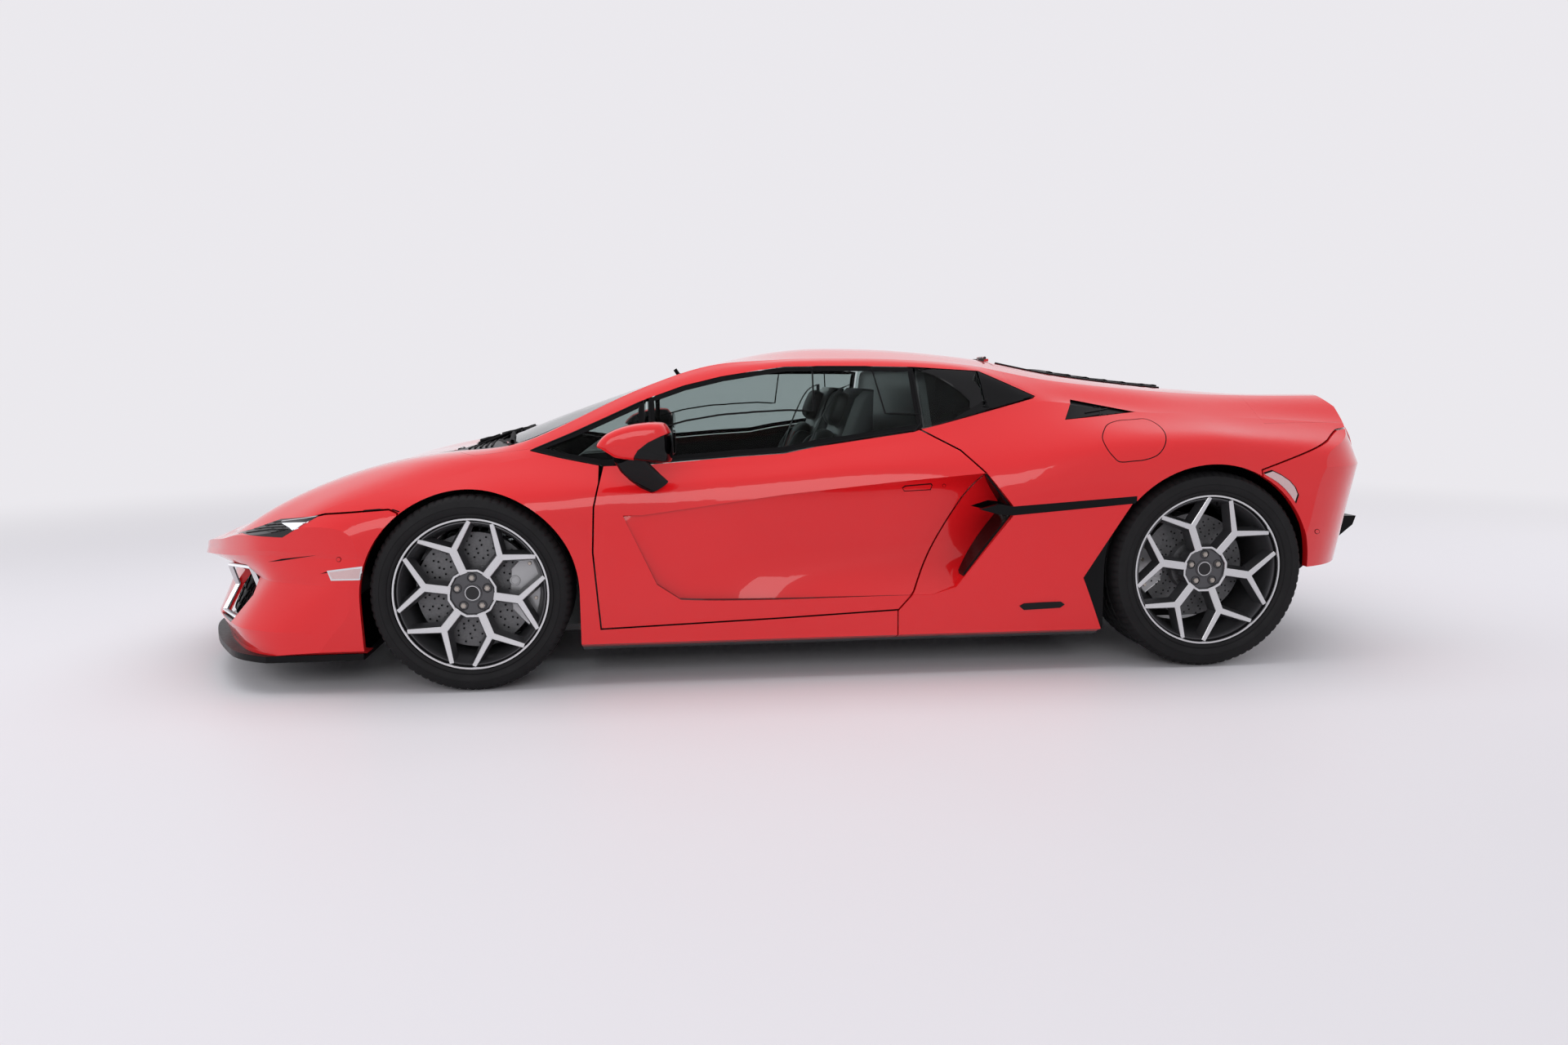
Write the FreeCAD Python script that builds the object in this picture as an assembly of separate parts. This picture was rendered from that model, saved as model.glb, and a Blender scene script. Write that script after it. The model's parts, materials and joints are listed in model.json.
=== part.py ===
import FreeCAD, Part
import math
import os
from FreeCAD import Vector

os.makedirs("parts", exist_ok=True)

# A two-seat mid-engined supercar, in millimetres.
# +X points to the tail, +Y to the car's right, +Z up.
# The origin is on the floor, below the middle of the car's length.

# Driving dimensions of the whole car
WHEELBASE = 2658.0
FRONT_OVERHANG = 1216.0
REAR_OVERHANG = 832.0
WIDTH = 1996.0
HEIGHT = 1201.0
FLOOR_HEIGHT = 112.0
SKIN = 24.0
SHUT_GAP = 6.0
SEAT_GAP = 0.3
RUNNING_GAP = 12.0
OVERRUN = 60.0
# How far each way the guide lines are averaged, in stations
FAIRING = .03

# Wheels, tyres and brakes
FRONT_TRACK = 1722.0
REAR_TRACK = 1660.0
FRONT_TYRE_DIAMETER = 686.5
REAR_TYRE_DIAMETER = 728.4
FRONT_TYRE_WIDTH = 255.0
REAR_TYRE_WIDTH = 321.0
FRONT_RIM_DIAMETER = 534.0
REAR_RIM_DIAMETER = 560.0
TYRE_SHOULDER = 30.0
RIM_BARREL = 9.0
RIM_LIP = 15.0
RIM_FACE_DEPTH = 26.0
SPOKE_WIDTH = 28.0
SPOKE_ARM_WIDTH = 24.0
SPOKE_TIP_WIDTH = 17.0
SPOKE_DEPTH = 38.0
SPOKE_SETBACK = 8.0
SPOKES = 6
HUB_RADIUS = 78.0
HUB_DEPTH = 60.0
CAP_RADIUS = 33.0
CAP_DEPTH = 6.0
BOLT_CIRCLE_RADIUS = 56.0
BOLT_RADIUS = 12.5
BOLT_POCKET = 14.0
BOLTS = 5
FRONT_DISC_DIAMETER = 410.0
REAR_DISC_DIAMETER = 390.0
DISC_THICKNESS = 36.0
DISC_HAT_RADIUS = 98.0
DISC_HAT_DEPTH = 30.0
DISC_OFFSET = 4.0
AXLE_RADIUS = 30.0
CALIPER_THICKNESS = 92.0
CALIPER_HEIGHT = 62.0
CALIPER_WALL = 24.0
FRONT_CALIPER_SPAN = 74.0
REAR_CALIPER_SPAN = 60.0

# Wheel arches
FRONT_ARCH_RADIUS = 370.0
FRONT_ARCH_HEIGHT = 336.0
REAR_ARCH_RADIUS = 391.0
REAR_ARCH_HEIGHT = 366.0
FRONT_WELL_DEPTH = 450.0
REAR_WELL_DEPTH = 400.0
LINER = 8.0
HINGE_RADIUS = 6.0
HINGE_PIN_RADIUS = 3.0
HINGE_LENGTH = 30.0
HINGE_LEAF = 26.0
HINGE_DROP = 14.0
LOUVRE = 30.0
FLAP_DEPTH = 90.0
FLAP_RECESS = 40.0

# Cabin
CABIN_HALF_WIDTH = 770.0
CABIN_FLOOR_HEIGHT = 170.0
GLASS = 6.0
GLASS_RECESS = 2.0
LINER_RECESS = 0.8
ROOF_FRAME = 42.0
BULKHEAD = 40.0
SEAT_WIDTH = 470.0
SEAT_SPREAD = 370.0
STEERING_WHEEL_RADIUS = 178.0
STEERING_WHEEL_GRIP = 16.0

# Engine, exhaust and underbody
ENGINE_LENGTH = 640.0
ENGINE_WIDTH = 620.0
ENGINE_HEIGHT = 520.0
EXHAUST_SIZE = 92.0
EXHAUST_LENGTH = 130.0
SPLITTER = SKIN - SEAT_GAP
SPLITTER_REACH = 46.0
BLADE = 24.0
MIRROR_STALK = 14.0
DOOR_FLANGE = 32.0
DOOR_INNER_HALF_WIDTH = 820.0
FINS = 6
FIN_GAP = 110.0
SPOKE_START = 50.0
KNUCKLE_THICKNESS = 46.0
KNUCKLE_BOSS_RADIUS = 48.0
KNUCKLE_LENGTH = 120.0
KNUCKLE_HEIGHT = 210.0
ARM_RADIUS = 20.0
ARM_ROD_RADIUS = 14.0
ARM_EYE_RADIUS = 24.0
ARM_LENGTH = 330.0
ARM_SPREAD = 130.0
SUBFRAME_HALF_LENGTH = 169.0
LINER_GAP = 260.0
SUBFRAME_WIDTH = 60.0
SILL_WIDTH = 110.0
TUB_HALF_WIDTH = 380.0
TUB_WALL = 12.0
SILL_HEIGHT = 330.0
STEERING_COLUMN = 160.0
COLUMN_RADIUS = 24.0
STEERING_SPOKE_RADIUS = 13.0
JACK_PAD_RADIUS = 30.0
JACK_PAD_DEPTH = 8.0

half_width = WIDTH / 2
length = FRONT_OVERHANG + WHEELBASE + REAR_OVERHANG
nose_x = -length / 2
tail_x = length / 2
front_axle_x = nose_x + FRONT_OVERHANG
rear_axle_x = front_axle_x + WHEELBASE
far = length + WIDTH
front_tyre_radius = FRONT_TYRE_DIAMETER / 2
rear_tyre_radius = REAR_TYRE_DIAMETER / 2
half_gap = SHUT_GAP / 2
floor_top = FLOOR_HEIGHT + SKIN


# Stations and guide lines
# A station is a place along the car: -1 nose, 0 front axle, 1 rear axle, 2 tail.
# A guide line is a list of (station, share of half the width, share of the height).

def station_x(station):
    if station < 0:
        return front_axle_x + station * FRONT_OVERHANG
    if station < 1:
        return front_axle_x + station * WHEELBASE
    return rear_axle_x + (station - 1) * REAR_OVERHANG


def station_at(x):
    if x < front_axle_x:
        return (x - front_axle_x) / FRONT_OVERHANG
    if x < rear_axle_x:
        return (x - front_axle_x) / WHEELBASE
    return 1 + (x - rear_axle_x) / REAR_OVERHANG


def follow(table, column, at):
    """The smooth value of one column of a table at a place, with no overshoot."""
    places = [row[0] for row in table]
    values = [row[column] for row in table]
    if at <= places[0]:
        return values[0]
    if at >= places[-1]:
        return values[-1]
    steps = [places[i + 1] - places[i] for i in range(len(places) - 1)]
    slopes = [(values[i + 1] - values[i]) / steps[i] for i in range(len(steps))]
    ends = [slopes[0]]
    for i in range(1, len(steps)):
        before, after = slopes[i - 1], slopes[i]
        if before * after <= 0:
            ends.append(0)
        else:
            first = 2 * steps[i] + steps[i - 1]
            second = steps[i] + 2 * steps[i - 1]
            ends.append((first + second) / (first / before + second / after))
    ends.append(slopes[-1])
    i = max(n for n in range(len(steps)) if places[n] <= at)
    t = (at - places[i]) / steps[i]
    rise = (1 + 2 * t) * (1 - t) ** 2 * values[i] + t * (1 - t) ** 2 * steps[i] * ends[i]
    fall = t ** 2 * (3 - 2 * t) * values[i + 1] + t ** 2 * (t - 1) * steps[i] * ends[i + 1]
    return rise + fall


def faired(table, column, at):
    """The value averaged over a short stretch of the car, so that the panels flow."""
    total = 0
    for step, weight in ((-1, 1), (-.5, 2), (0, 2), (.5, 2), (1, 1)):
        total += weight * follow(table, column, at + step * FAIRING)
    return total / 8


centre_shares = [
    (-1, 0, .332), (-.95, 0, .374), (-.87, 0, .413), (-.734, 0, .464), (-.632, 0, .516),
    (-.521, 0, .568), (-.408, 0, .612), (-.296, 0, .641), (-.2, 0, .658), (-.11, 0, .668),
    (.005, 0, .705), (.075, 0, .7635), (.15, 0, .8226), (.226, 0, .879), (.301, 0, .9325),
    (.339, 0, .954), (.386, 0, .9755), (.4345, 0, .992), (.4835, 0, 1), (.54, 0, .999),
    (.609, 0, .992), (.677, 0, .9775), (.736, 0, .962), (.84, 0, .921), (.932, 0, .888),
    (1, 0, .87), (1.177, 0, .857), (1.49, 0, .83), (1.72, 0, .829), (2, 0, .828)]
rail_shares = [
    (-1, .621, .337), (-.734, .621, .442), (-.632, .621, .51), (-.521, .621, .565),
    (-.408, .621, .609), (-.296, .626, .642), (-.184, .645, .666), (-.095, .67, .679),
    (0, .701, .689), (.041, .735, .696), (.0715, .744, .717), (.1257, .716, .77),
    (.1768, .681, .825), (.2287, .651, .876), (.2814, .621, .916), (.3187, .601, .941),
    (.386, .591, .952), (.4345, .586, .9575), (.4695, .584, .958), (.54, .583, .9575),
    (.61, .585, .952), (.703, .601, .9325), (.742, .611, .914), (.778, .618, .896),
    (.84, .621, .876), (.932, .611, .855), (1, .601, .843), (1.177, .601, .835),
    (1.49, .601, .829), (1.72, .601, .828), (2, .601, .826)]
window_top_shares = [
    (-1, .762, .318), (-.734, .762, .408), (-.632, .762, .472), (-.521, .762, .532),
    (-.408, .762, .583), (-.296, .762, .619), (-.184, .772, .648), (-.095, .782, .664),
    (0, .792, .677), (.0715, .789, .693), (.1275, .777, .739), (.178, .752, .788),
    (.229, .726, .838), (.281, .701, .878), (.333, .681, .905), (.386, .661, .923),
    (.423, .651, .934), (.4695, .643, .935), (.54, .641, .934), (.61, .643, .931),
    (.703, .664, .914), (.742, .695, .88), (.778, .718, .852), (.84, .716, .832),
    (.932, .716, .811), (1, .716, .804), (1.177, .716, .796), (1.49, .716, .783),
    (1.72, .716, .776), (2, .716, .77)]
belt_shares = [
    (-1, .9, .28), (-.734, .9, .352), (-.632, .9, .405), (-.521, .9, .466),
    (-.408, .9, .532), (-.296, .9, .567), (-.184, .893, .595), (-.095, .885, .614),
    (0, .872, .636), (.0715, .835, .67), (.119, .842, .664), (.1685, .867, .643),
    (.228, .872, .646), (.347, .87, .666), (.4135, .867, .674), (.458, .864, .693),
    (.594, .847, .7335), (.617, .842, .745), (.688, .812, .7835), (.777, .772, .822),
    (.84, .775, .808), (.919, .782, .784), (1, .782, .776), (1.171, .782, .767),
    (1.5, .782, .752), (1.785, .782, .739), (2, .782, .735)]
shoulder_shares = [
    (-1, .985, .24), (-.734, .985, .29), (-.521, .985, .38), (-.408, .976, .45),
    (-.296, .976, .488), (-.184, .981, .515), (-.095, .985, .535), (0, .987, .548),
    (.0715, .98, .56), (.1685, .953, .56), (.228, .951, .562), (.376, .947, .583),
    (.564, .954, .612), (.68, .963, .614), (.778, .975, .655), (.866, .981, .685),
    (1, .986, .69), (1.2, .976, .68), (1.5, .965, .66), (1.785, .955, .64), (2, .95, .63)]
waist_shares = [
    (-1, .99), (-.408, .985), (-.296, .985), (0, .991), (.0715, .986), (.1685, .966),
    (.376, .968), (.564, .967), (.68, .976), (.778, .986), (1, .999), (1.2, .99), (2, .97)]
flank_shares = [
    (-1, .985, .18), (-.734, .985, .22), (-.408, .985, .25), (0, .985, .258),
    (.1685, .971, .258), (.376, .971, .258), (.564, .963, .258), (.68, .967, .258),
    (.778, .977, .258), (1, .992, .258), (2, .97, .258)]
sill_shares = [(-1, .96, .125), (0, .965, .127), (.5, .963, .127), (1, .97, .127), (2, .96, .127)]
floor_edge_share = .9
# How far the roof's middle stands over its edge at half the width, as a share
crown_shares = [(-1, .3), (-.1, .3), (.05, .25), (.32, .2), (.43, .12), (.72, .12), (.85, .25), (2, .25)]
# How sharp the belt and roof rail are: 0 smooth as on a fender, 1 a crease
crease_shares = [(-1, 0), (0, 0), (.09, .8), (.13, 1), (.7, 1), (.78, .7), (.86, .35), (1, .3), (2, .3)]
SECTIONS = 40
span = length + 2 * OVERRUN
stations = [station_at(nose_x - OVERRUN + span * i / SECTIONS) for i in range(SECTIONS + 1)]


def blend(first, second, share):
    mixed = first * (1 - share) + second * share
    return mixed.normalize()


def spline(points, parameters, start=None, end=None):
    curve = Part.BSplineCurve()
    if start is None:
        curve.interpolate(Points=points, Parameters=parameters)
    else:
        curve.interpolate(Points=points, Parameters=parameters, InitialTangent=start, FinalTangent=end)
    return curve.toShape()


def mirrored(shape):
    return shape.mirror(Vector(), Vector(0, 1, 0))


def body_section(station, side_inset, top_inset, floor_height, half_limit=None):
    """The closed outline of the body across the car at a station."""
    x = station_x(station)

    def place(table, side_share, top_share):
        y = faired(table, 1, station) * half_width - side_inset * side_share
        z = faired(table, 2, station) * HEIGHT - top_inset * top_share
        if half_limit is not None:
            y = min(y, half_limit)
        return Vector(x, y, z)

    sill = place(sill_shares, 1, 0)
    flank = place(flank_shares, 1, 0)
    shoulder = place(shoulder_shares, 1, .2)
    belt = place(belt_shares, .8, .6)
    window_top = place(window_top_shares, .8, .6)
    rail = place(rail_shares, .6, .8)
    centre = place(centre_shares, 0, 1)
    waist_y = faired(waist_shares, 1, station) * half_width - side_inset
    if half_limit is not None:
        waist_y = min(waist_y, half_limit)
    waist = Vector(x, waist_y, (flank.z + shoulder.z) / 2)
    sill.z = max(sill.z, floor_height + SPLITTER)
    if flank.z < sill.z + SPLITTER:
        flank.z = sill.z + SPLITTER
    floor_edge = Vector(x, sill.y * floor_edge_share, floor_height)
    crown = Vector(x, rail.y / 2, centre.z - (centre.z - rail.z) * follow(crown_shares, 1, station))
    crease = follow(crease_shares, 1, station)
    over_belt = (window_top - shoulder).normalize()
    over_rail = (crown - window_top).normalize()
    belt_in = blend(over_belt, (belt - shoulder).normalize(), crease)
    belt_out = blend(over_belt, (window_top - belt).normalize(), crease)
    rail_in = blend(over_rail, (rail - window_top).normalize(), crease)
    rail_out = blend(over_rail, (crown - rail).normalize(), crease)
    side = spline([sill, flank, waist, shoulder, belt], [0, .25, .5, .75, 1],
                  (flank - sill).normalize(), belt_in)
    upper = spline([belt, window_top, rail], [0, .6, 1], belt_out, rail_in)

    def opposite(point):
        return Vector(point.x, -point.y, point.z)

    top_end = opposite(rail_out) * -1
    top = spline([rail, crown, centre, opposite(crown), opposite(rail)], [0, .25, .5, .75, 1],
                 rail_out, top_end)
    rocker = Part.LineSegment(floor_edge, sill).toShape()
    floor_line = Part.LineSegment(opposite(floor_edge), floor_edge).toShape()
    lower = [rocker, side, upper]
    other = [mirrored(edge) for edge in reversed(lower)]
    return Part.Wire([floor_line] + lower + [top] + other)


def body_loft(side_inset, top_inset, floor_height, first=stations[0], last=stations[-1], half_limit=None):
    chosen = [s for s in stations if first <= s <= last]
    wires = [body_section(s, side_inset, top_inset, floor_height, half_limit) for s in chosen]
    return Part.makeLoft(wires, True, False, False, 5)


# The nose and tail in plan
# Each row is a share of half the width, then how far back the nose lies there at each
# level, as a share of the front overhang. The levels' heights are shares of the height.

nose_breadth_shares = [0, .15, .3, .45, .6, .75, .85, .93, .975, 1.02]
nose_levels = {
    "ground": [.115, .118, .13, .17, .225, .295, .355, .455, .63, .8],
    "bottom": [.115, .118, .13, .17, .225, .295, .355, .455, .63, .8],
    "flare": [.1, .102, .113, .145, .2, .275, .34, .455, .62, .8],
    "recess": [.115, .127, .16, .215, .285, .367, .44, .56, .64, .8],
    "lip": [0, .017, .067, .137, .219, .326, .433, .572, .671, .8],
    "brow": [.012, .025, .072, .141, .219, .322, .425, .565, .665, .8],
    "lamp": [.03, .04, .082, .15, .225, .32, .415, .55, .655, .8],
    "over": [.03, .04, .082, .15, .225, .32, .415, .55, .655, .8]}
nose_height_shares = {
    "ground": [0, 0], "bottom": [.117, .125], "flare": [.18, .183], "recess": [.312, .318],
    "lip": [.327, .396], "brow": [.35, .41], "lamp": [.47, .5], "over": [1.2, 1.2]}
# Where across the nose its edges start to rise, and over what breadth they do
lip_rise_shares = (.15, .7)
tail_breadth_shares = [0, .2, .4, .6, .78, .9, .965, 1.02]
tail_plan_shares = [0, .005, .019, .075, .168, .291, .429, .624]
# Height, and how far ahead of the rearmost line the tail lies there
tail_level_shares = [
    (0, .094), (.304, .094), (.515, .031), (.614, 0), (.686, .047), (.739, .083),
    (.793, .119), (.828, .184), (1.2, .3)]


def plan_wire(points, end_x):
    first = points[0]
    last = points[-1]
    parameters = [i / (len(points) - 1) for i in range(len(points))]
    front = spline(points, parameters)
    corners = [last, Vector(end_x, last.y, last.z), Vector(end_x, first.y, first.z), first]
    sides = [Part.LineSegment(corners[i], corners[i + 1]).toShape() for i in range(3)]
    return Part.Wire([front] + sides)


def both_sides(points):
    other = [Vector(p.x, -p.y, p.z) for p in reversed(points) if p.y > 0]
    return other + points


def nose_envelope(inset):
    """All that lies behind the nose's face, as wide as the car and more."""
    wires = []
    for level, shares in nose_levels.items():
        low, high = nose_height_shares[level]
        points = []
        for breadth, share in zip(nose_breadth_shares, shares):
            rise = max(0, min(1, (breadth - lip_rise_shares[0]) / lip_rise_shares[1]))
            z = HEIGHT * (low + (high - low) * rise)
            y = breadth * (half_width - inset)
            points.append(Vector(nose_x + share * FRONT_OVERHANG + inset, y, z))
        wires.append(plan_wire(both_sides(points), far))
    return Part.makeLoft(wires, True, True)


def tail_envelope(inset):
    """All that lies ahead of the tail's face."""
    wires = []
    for height, back in tail_level_shares:
        points = []
        for breadth, share in zip(tail_breadth_shares, tail_plan_shares):
            x = tail_x - (share + back) * REAR_OVERHANG - inset
            points.append(Vector(x, breadth * (half_width - inset), height * HEIGHT))
        wires.append(plan_wire(both_sides(points), -far))
    return Part.makeLoft(wires, True, True)


# Shapes cut through the car from the side, from above or from ahead

def side_place(station_share, height_share):
    return Vector(station_x(station_share), 0, height_share * HEIGHT)


def side_face(shares, grow=0):
    """A face in the car's middle plane from (station, share of height) corners."""
    points = [side_place(s, h) for s, h in shares]
    face = Part.Face(Part.makePolygon(points + [points[0]]))
    if grow:
        face = grown(face, grow)
    return face


def grown(face, grow):
    moved = face.makeOffset2D(grow, 2)
    return moved if moved.ShapeType == "Face" else moved.Faces[0]


def side_prism(shares, grow=0, inner=0, outer=None):
    """The side outline extruded across the right half of the car."""
    reach = far if outer is None else outer
    face = side_face(shares, grow)
    face.translate(Vector(0, inner, 0))
    return face.extrude(Vector(0, reach - inner, 0))


def through_prism(shares, grow=0):
    face = side_face(shares, grow)
    face.translate(Vector(0, -far, 0))
    return face.extrude(Vector(0, 2 * far, 0))


def plan_prism(shares, grow=0, low=0, high=None, lean=0, pivot=0):
    """A plan outline, mirrored about the middle, extruded upwards.

    With a lean it is true at the pivot's height and its walls follow a lid's path.
    """
    points = [Vector(station_x(s), b * half_width, 0) for s, b in shares]
    other = [Vector(p.x, -p.y, 0) for p in reversed(points) if p.y > 0]
    ring = points + other
    face = Part.Face(Part.makePolygon(ring + [ring[0]]))
    if grow:
        face = grown(face, grow)
    top = 2 * HEIGHT if high is None else high
    face.translate(Vector(lean * (low - pivot), 0, low))
    return face.extrude(Vector(lean * (top - low), 0, top - low))


def box_between(low, high):
    size = high - low
    return Part.makeBox(size.x, size.y, size.z, low)


def pair(shape):
    return Part.makeCompound([shape, mirrored(shape)])


def biggest(shape):
    return max(shape.Solids, key=lambda solid: solid.Volume)


def solids_over(shape, least):
    kept = [solid for solid in shape.Solids if solid.Volume > least]
    return Part.makeCompound(kept)


def save(name, shape):
    shape.exportStep("parts/" + name + ".step")


# Heights of the cuts from above, as shares of the height
hood_floor_share = .36
cover_floor_share = .6
cowl_floor_share = .5
glass_floor_share = .6
nose_floor_share = .112
tail_floor_share = .304
diffuser_top_share = .42
fin_top_share = .36
grille_top_share = .37
mouth_floor_share = .3
tail_grille_height_share = (.44, .74)

# Breadths as shares of half the width
lamp_inner_share = .6
mouth_outer_share = .955
grille_half_share = .85
tail_grille_half_share = .8
fins_half_share = .475
louvre_half_share = .3

# The tyre's outline from its bead and from its tread, in shares of half the shoulder
tyre_bead_shares = [(0, 2.2), (1, .6), (2, 0)]
tyre_tread_shares = [(1.6, .3), (.5, 1), (.12, 2), (0, 3.6)]
tyre_inner_tread_shares = [(1, 3)]
tyre_inner_bead_shares = [(2, 1.4), (0, 2.8)]

# Wheels: shares of the rim's radius and of the hub's depth
rim_face_share = .95
axle_bore_share = .6
caliper_front_share = .72

# Side outlines, as (station, share of height)

door_shares = [
    (.1655, .172), (.1573, .398), (.1599, .53), (.1712, .645), (.2284, .6475), (.3473, .667),
    (.4135, .675), (.4579, .694), (.5937, .7345), (.6019, .7402), (.6527, .6786), (.684, .6112),
    (.6591, .5329), (.5873, .2581), (.5651, .204), (.4078, .19)]
glass_shares = [
    (.073, .688), (.1189, .6645), (.1685, .6435), (.2284, .6475), (.3473, .667), (.4135, .675),
    (.4579, .694), (.5937, .7345), (.6166, .7452), (.6881, .7835), (.772, .829), (.7765, .836),
    (.742, .874), (.7028, .916), (.6098, .93), (.5402, .933), (.4695, .934), (.4229, .933),
    (.386, .922), (.333, .904), (.2807, .877), (.2287, .837), (.178, .787), (.1275, .738)]
mullion_share = .2296
engine_wall_share = .71
pillar_share = .6095
quarter_pillar_share = .655
roof_region_shares = [
    (-.12, .69), (.0, .676), (.073, .693), (.1189, .6695), (.1685, .6485), (.2284, .6525),
    (.3473, .672), (.4135, .68), (.4579, .699), (.5937, .7395), (.6166, .7502), (.6881, .7885),
    (.772, .834), (.7785, .84), (.7455, .879), (.737, .97), (.737, 1.3), (-.12, 1.3)]
glass_run_shares = (.46, .55, .8)
belt_line_share = [(.2284, .6475), (.3473, .667), (.4135, .675), (.4579, .694), (.5937, .7345)]
belt_overlap_share = .012
windshield_shares = [(.008, 0), (.014, .4), (.046, .722), (.0715, .729), (.1257, .7), (.1768, .665),
                     (.2287, .634), (.2814, .604), (.306, .585), (.316, .4), (.32, 0)]
bumper_side_shares = [
    (-1.3, -.1), (-1.3, .4), (-.95, .405), (-.83, .415), (-.69, .452), (-.4, .521), (-.216, .535),
    (-.191, .525), (-.191, -.1)]
hood_plan_shares = [
    (-.972, 0), (-.972, .3), (-.863, .46), (-.662, .56), (-.416, .6), (-.204, .61), (-.14, .55), (-.1205, .3),
    (-.1205, 0)]
hood_hinge_share = (-.1205, .6694)
cover_hinge_share = (.75113, .96253)
# How far a lid's end moves along the car for each step that it rises
hood_lean_share = -.28
cover_lean_share = .15
hinge_spread_share = .25
cover_plan_shares = [
    (.75, 0), (.75, .44), (.9, .44), (1.05, .43), (1.25, .42), (1.3, .3), (1.3, 0)]
rear_bumper_shares = [
    (1.3, -.1), (1.3, .3), (1.22, .61), (1.58, .694), (1.68, .722), (1.9, .742), (2.3, .742), (2.3, -.1)]
rear_arch_front_shares = [(.885, .516), (.8205, .29), (.849, .131), (.849, -.1), (1, -.1), (1, .516)]
sill_region_shares = [(.12, -.1), (.12, .172), (.1655, .172), (.4078, .19), (.5635, .204), (.5635, -.1)]
scallop_side_shares = [
    (.1975, .505), (.2223, .5046), (.4097, .557), (.564, .5903), (.6847, .612), (.7193, .5137),
    (.7193, .4813), (.6448, .2698), (.6, .24), (.56, .21), (.3, .21), (.24, .3)]
# Station, depth below the flank, height of the upper edge, height of the lower edge
scallop_shares = [
    (.18, -.03, .5, .3), (.25, .002, .516, .26), (.33, .014, .537, .25), (.41, .04, .557, .248),
    (.49, .068, .574, .248), (.564, .088, .59, .248), (.63, .11, .602, .248), (.69, .15, .615, .248),
    (.76, .2, .63, .248)]
# The groove across its height, from its upper edge to its lower: place, share of the depth
groove_shares = [(0, 0), (.07, .35), (.2, .66), (.5, 1), (.72, .9), (.88, .45), (1, -.05)]
vent_shares = [(.806, .764), (.829, .8243), (.919, .7843)]
blade_shares = [
    (.6742, .504), (.7, .52), (.7193, .5125), (.8905, .5379), (.8905, .5155), (.7193, .485), (.7, .488)]
intake_stations_share = (.655, .76)
floor_ramp_shares = [(1.15, .05), (2.1, .05), (2.1, .3)]
jack_stations_share = (.2, .72)
inner_sill_stations_share = (.18, .6)
bulkhead_stations_share = (.16, .612)
engine_station_share = .68
grille_station_share = -.5
tail_grille_station_share = 1.5
fins_station_share = 1.5
louvre_stations_share = (.86, .92, .98, 1.04, 1.1)
exhaust_setback_share = .06
seat_shares = [(.3, .17), (.3, .33), (.42, .29), (.43, .36), (.52, .86), (.56, .87), (.56, .7), (.5, .17)]
dashboard_shares = [
    (.135, .52), (.12, .64), (.14, .672), (.2, .68), (.235, .66), (.24, .56), (.19, .5), (.155, .5)]
bulkhead_top_share = .5
fork_share = .62
column_slope_share = .42
seat_rail_shares = [(.33, .1), (.33, .18), (.47, .18), (.47, .1)]
fork_spread_share = .0592
tub_shares = [(-.74, .27), (-.74, .4), (-.3, .57), (-.3, .27)]
crash_rail_shares = [(-.72, .1), (-.72, .28), (-.5, .28), (-.5, .1)]
tub_hollow_shares = [(-.73, .28), (-.73, .6), (-.31, .6), (-.31, .28)]
lamp_side_shares = [(-.69, .4505), (-.5526, .4985), (-.415, .517), (-.53, .452)]
spoiler_region_shares = [(1.34, .745), (2.3, .745), (2.3, 1.2), (1.34, 1.2)]
cowl_plan_shares = [
    (-.125, 0), (-.13, .3), (-.15, .553), (-.1, .6), (0, .69), (.043, .728), (.0138, .41), (.0045, 0)]
# Openings seen from ahead or behind: (share of half the width, share of the height)
side_intake_shares = [(.56, .185), (.52, .27), (.56, .345), (.7, .352), (.77, .27), (.73, .182)]
middle_intake_shares = [(0, .135), (.36, .135), (.42, .2), (.38, .29), (0, .295)]
tail_lamp_shares = [(.5, .7), (.55, .665), (.74, .66), (.8, .7), (.76, .728), (.54, .73)]
tail_grille_shares = [(.14, .53), (.2, .47), (.62, .46), (.68, .55), (.62, .62), (.2, .63)]
exhaust_shares = [(0, .53), (.055, .53), (.105, .6), (.055, .67), (0, .67)]
mirror_shares = [(.1716, .715), (.1994, .755), (.2404, .774), (.263, .747), (.2641, .671), (.2084, .657)]
# The mirror's rings: share of half the width, and size
mirror_ring_shares = [(.985, .55), (1.02, .95), (1.08, 1), (1.125, .55)]
# Station, share of half the width, share of the height
mirror_stalk_shares = [(.262, .935, .59), (.236, 1.03, .68)]
steering_hub_share = (.262, .595)
diffuser_channel_shares = [(1.45, .05), (1.45, .12), (1.9, .37), (2.1, .38), (2.1, .05)]
diffuser_shares = [(1.3, .113), (1.48, .113), (1.97, .39), (1.985, .42), (1.8, .42), (1.7, .31), (1.3, .31)]


def end_prism(shares, grow=0, ahead=True):
    """An outline across the car, extruded to the nose or to the tail."""
    points = [Vector(0, b * half_width, h * HEIGHT) for b, h in shares]
    face = Part.Face(Part.makePolygon(points + [points[0]]))
    if grow:
        face = grown(face, grow)
    return face.extrude(Vector(-far if ahead else far, 0, 0))


def scallop_cutter(deeper=0, grow=0):
    """The groove along the door, which deepens into the side intake."""
    outside = half_width + OVERRUN
    wires = []
    for station, depth, upper, lower in scallop_shares:
        x = station_x(station)
        skin = follow(shoulder_shares, 1, station) * half_width
        points = []
        for place, share in groove_shares:
            z = HEIGHT * (upper + (lower - upper) * place)
            points.append(Vector(x, skin - share * depth * half_width - deeper, z))
        curve = spline(points, [place for place, share in groove_shares])
        corners = [points[-1], Vector(x, outside, points[-1].z - BLADE / 2),
                   Vector(x, outside, points[0].z + BLADE), points[0]]
        lines = [Part.LineSegment(corners[i], corners[i + 1]).toShape() for i in range(3)]
        wires.append(Part.Wire([curve] + lines))
    groove = Part.makeLoft(wires, True, False, False, 5)
    return groove.common(side_prism(scallop_side_shares, grow, half_width / 2))


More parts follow.
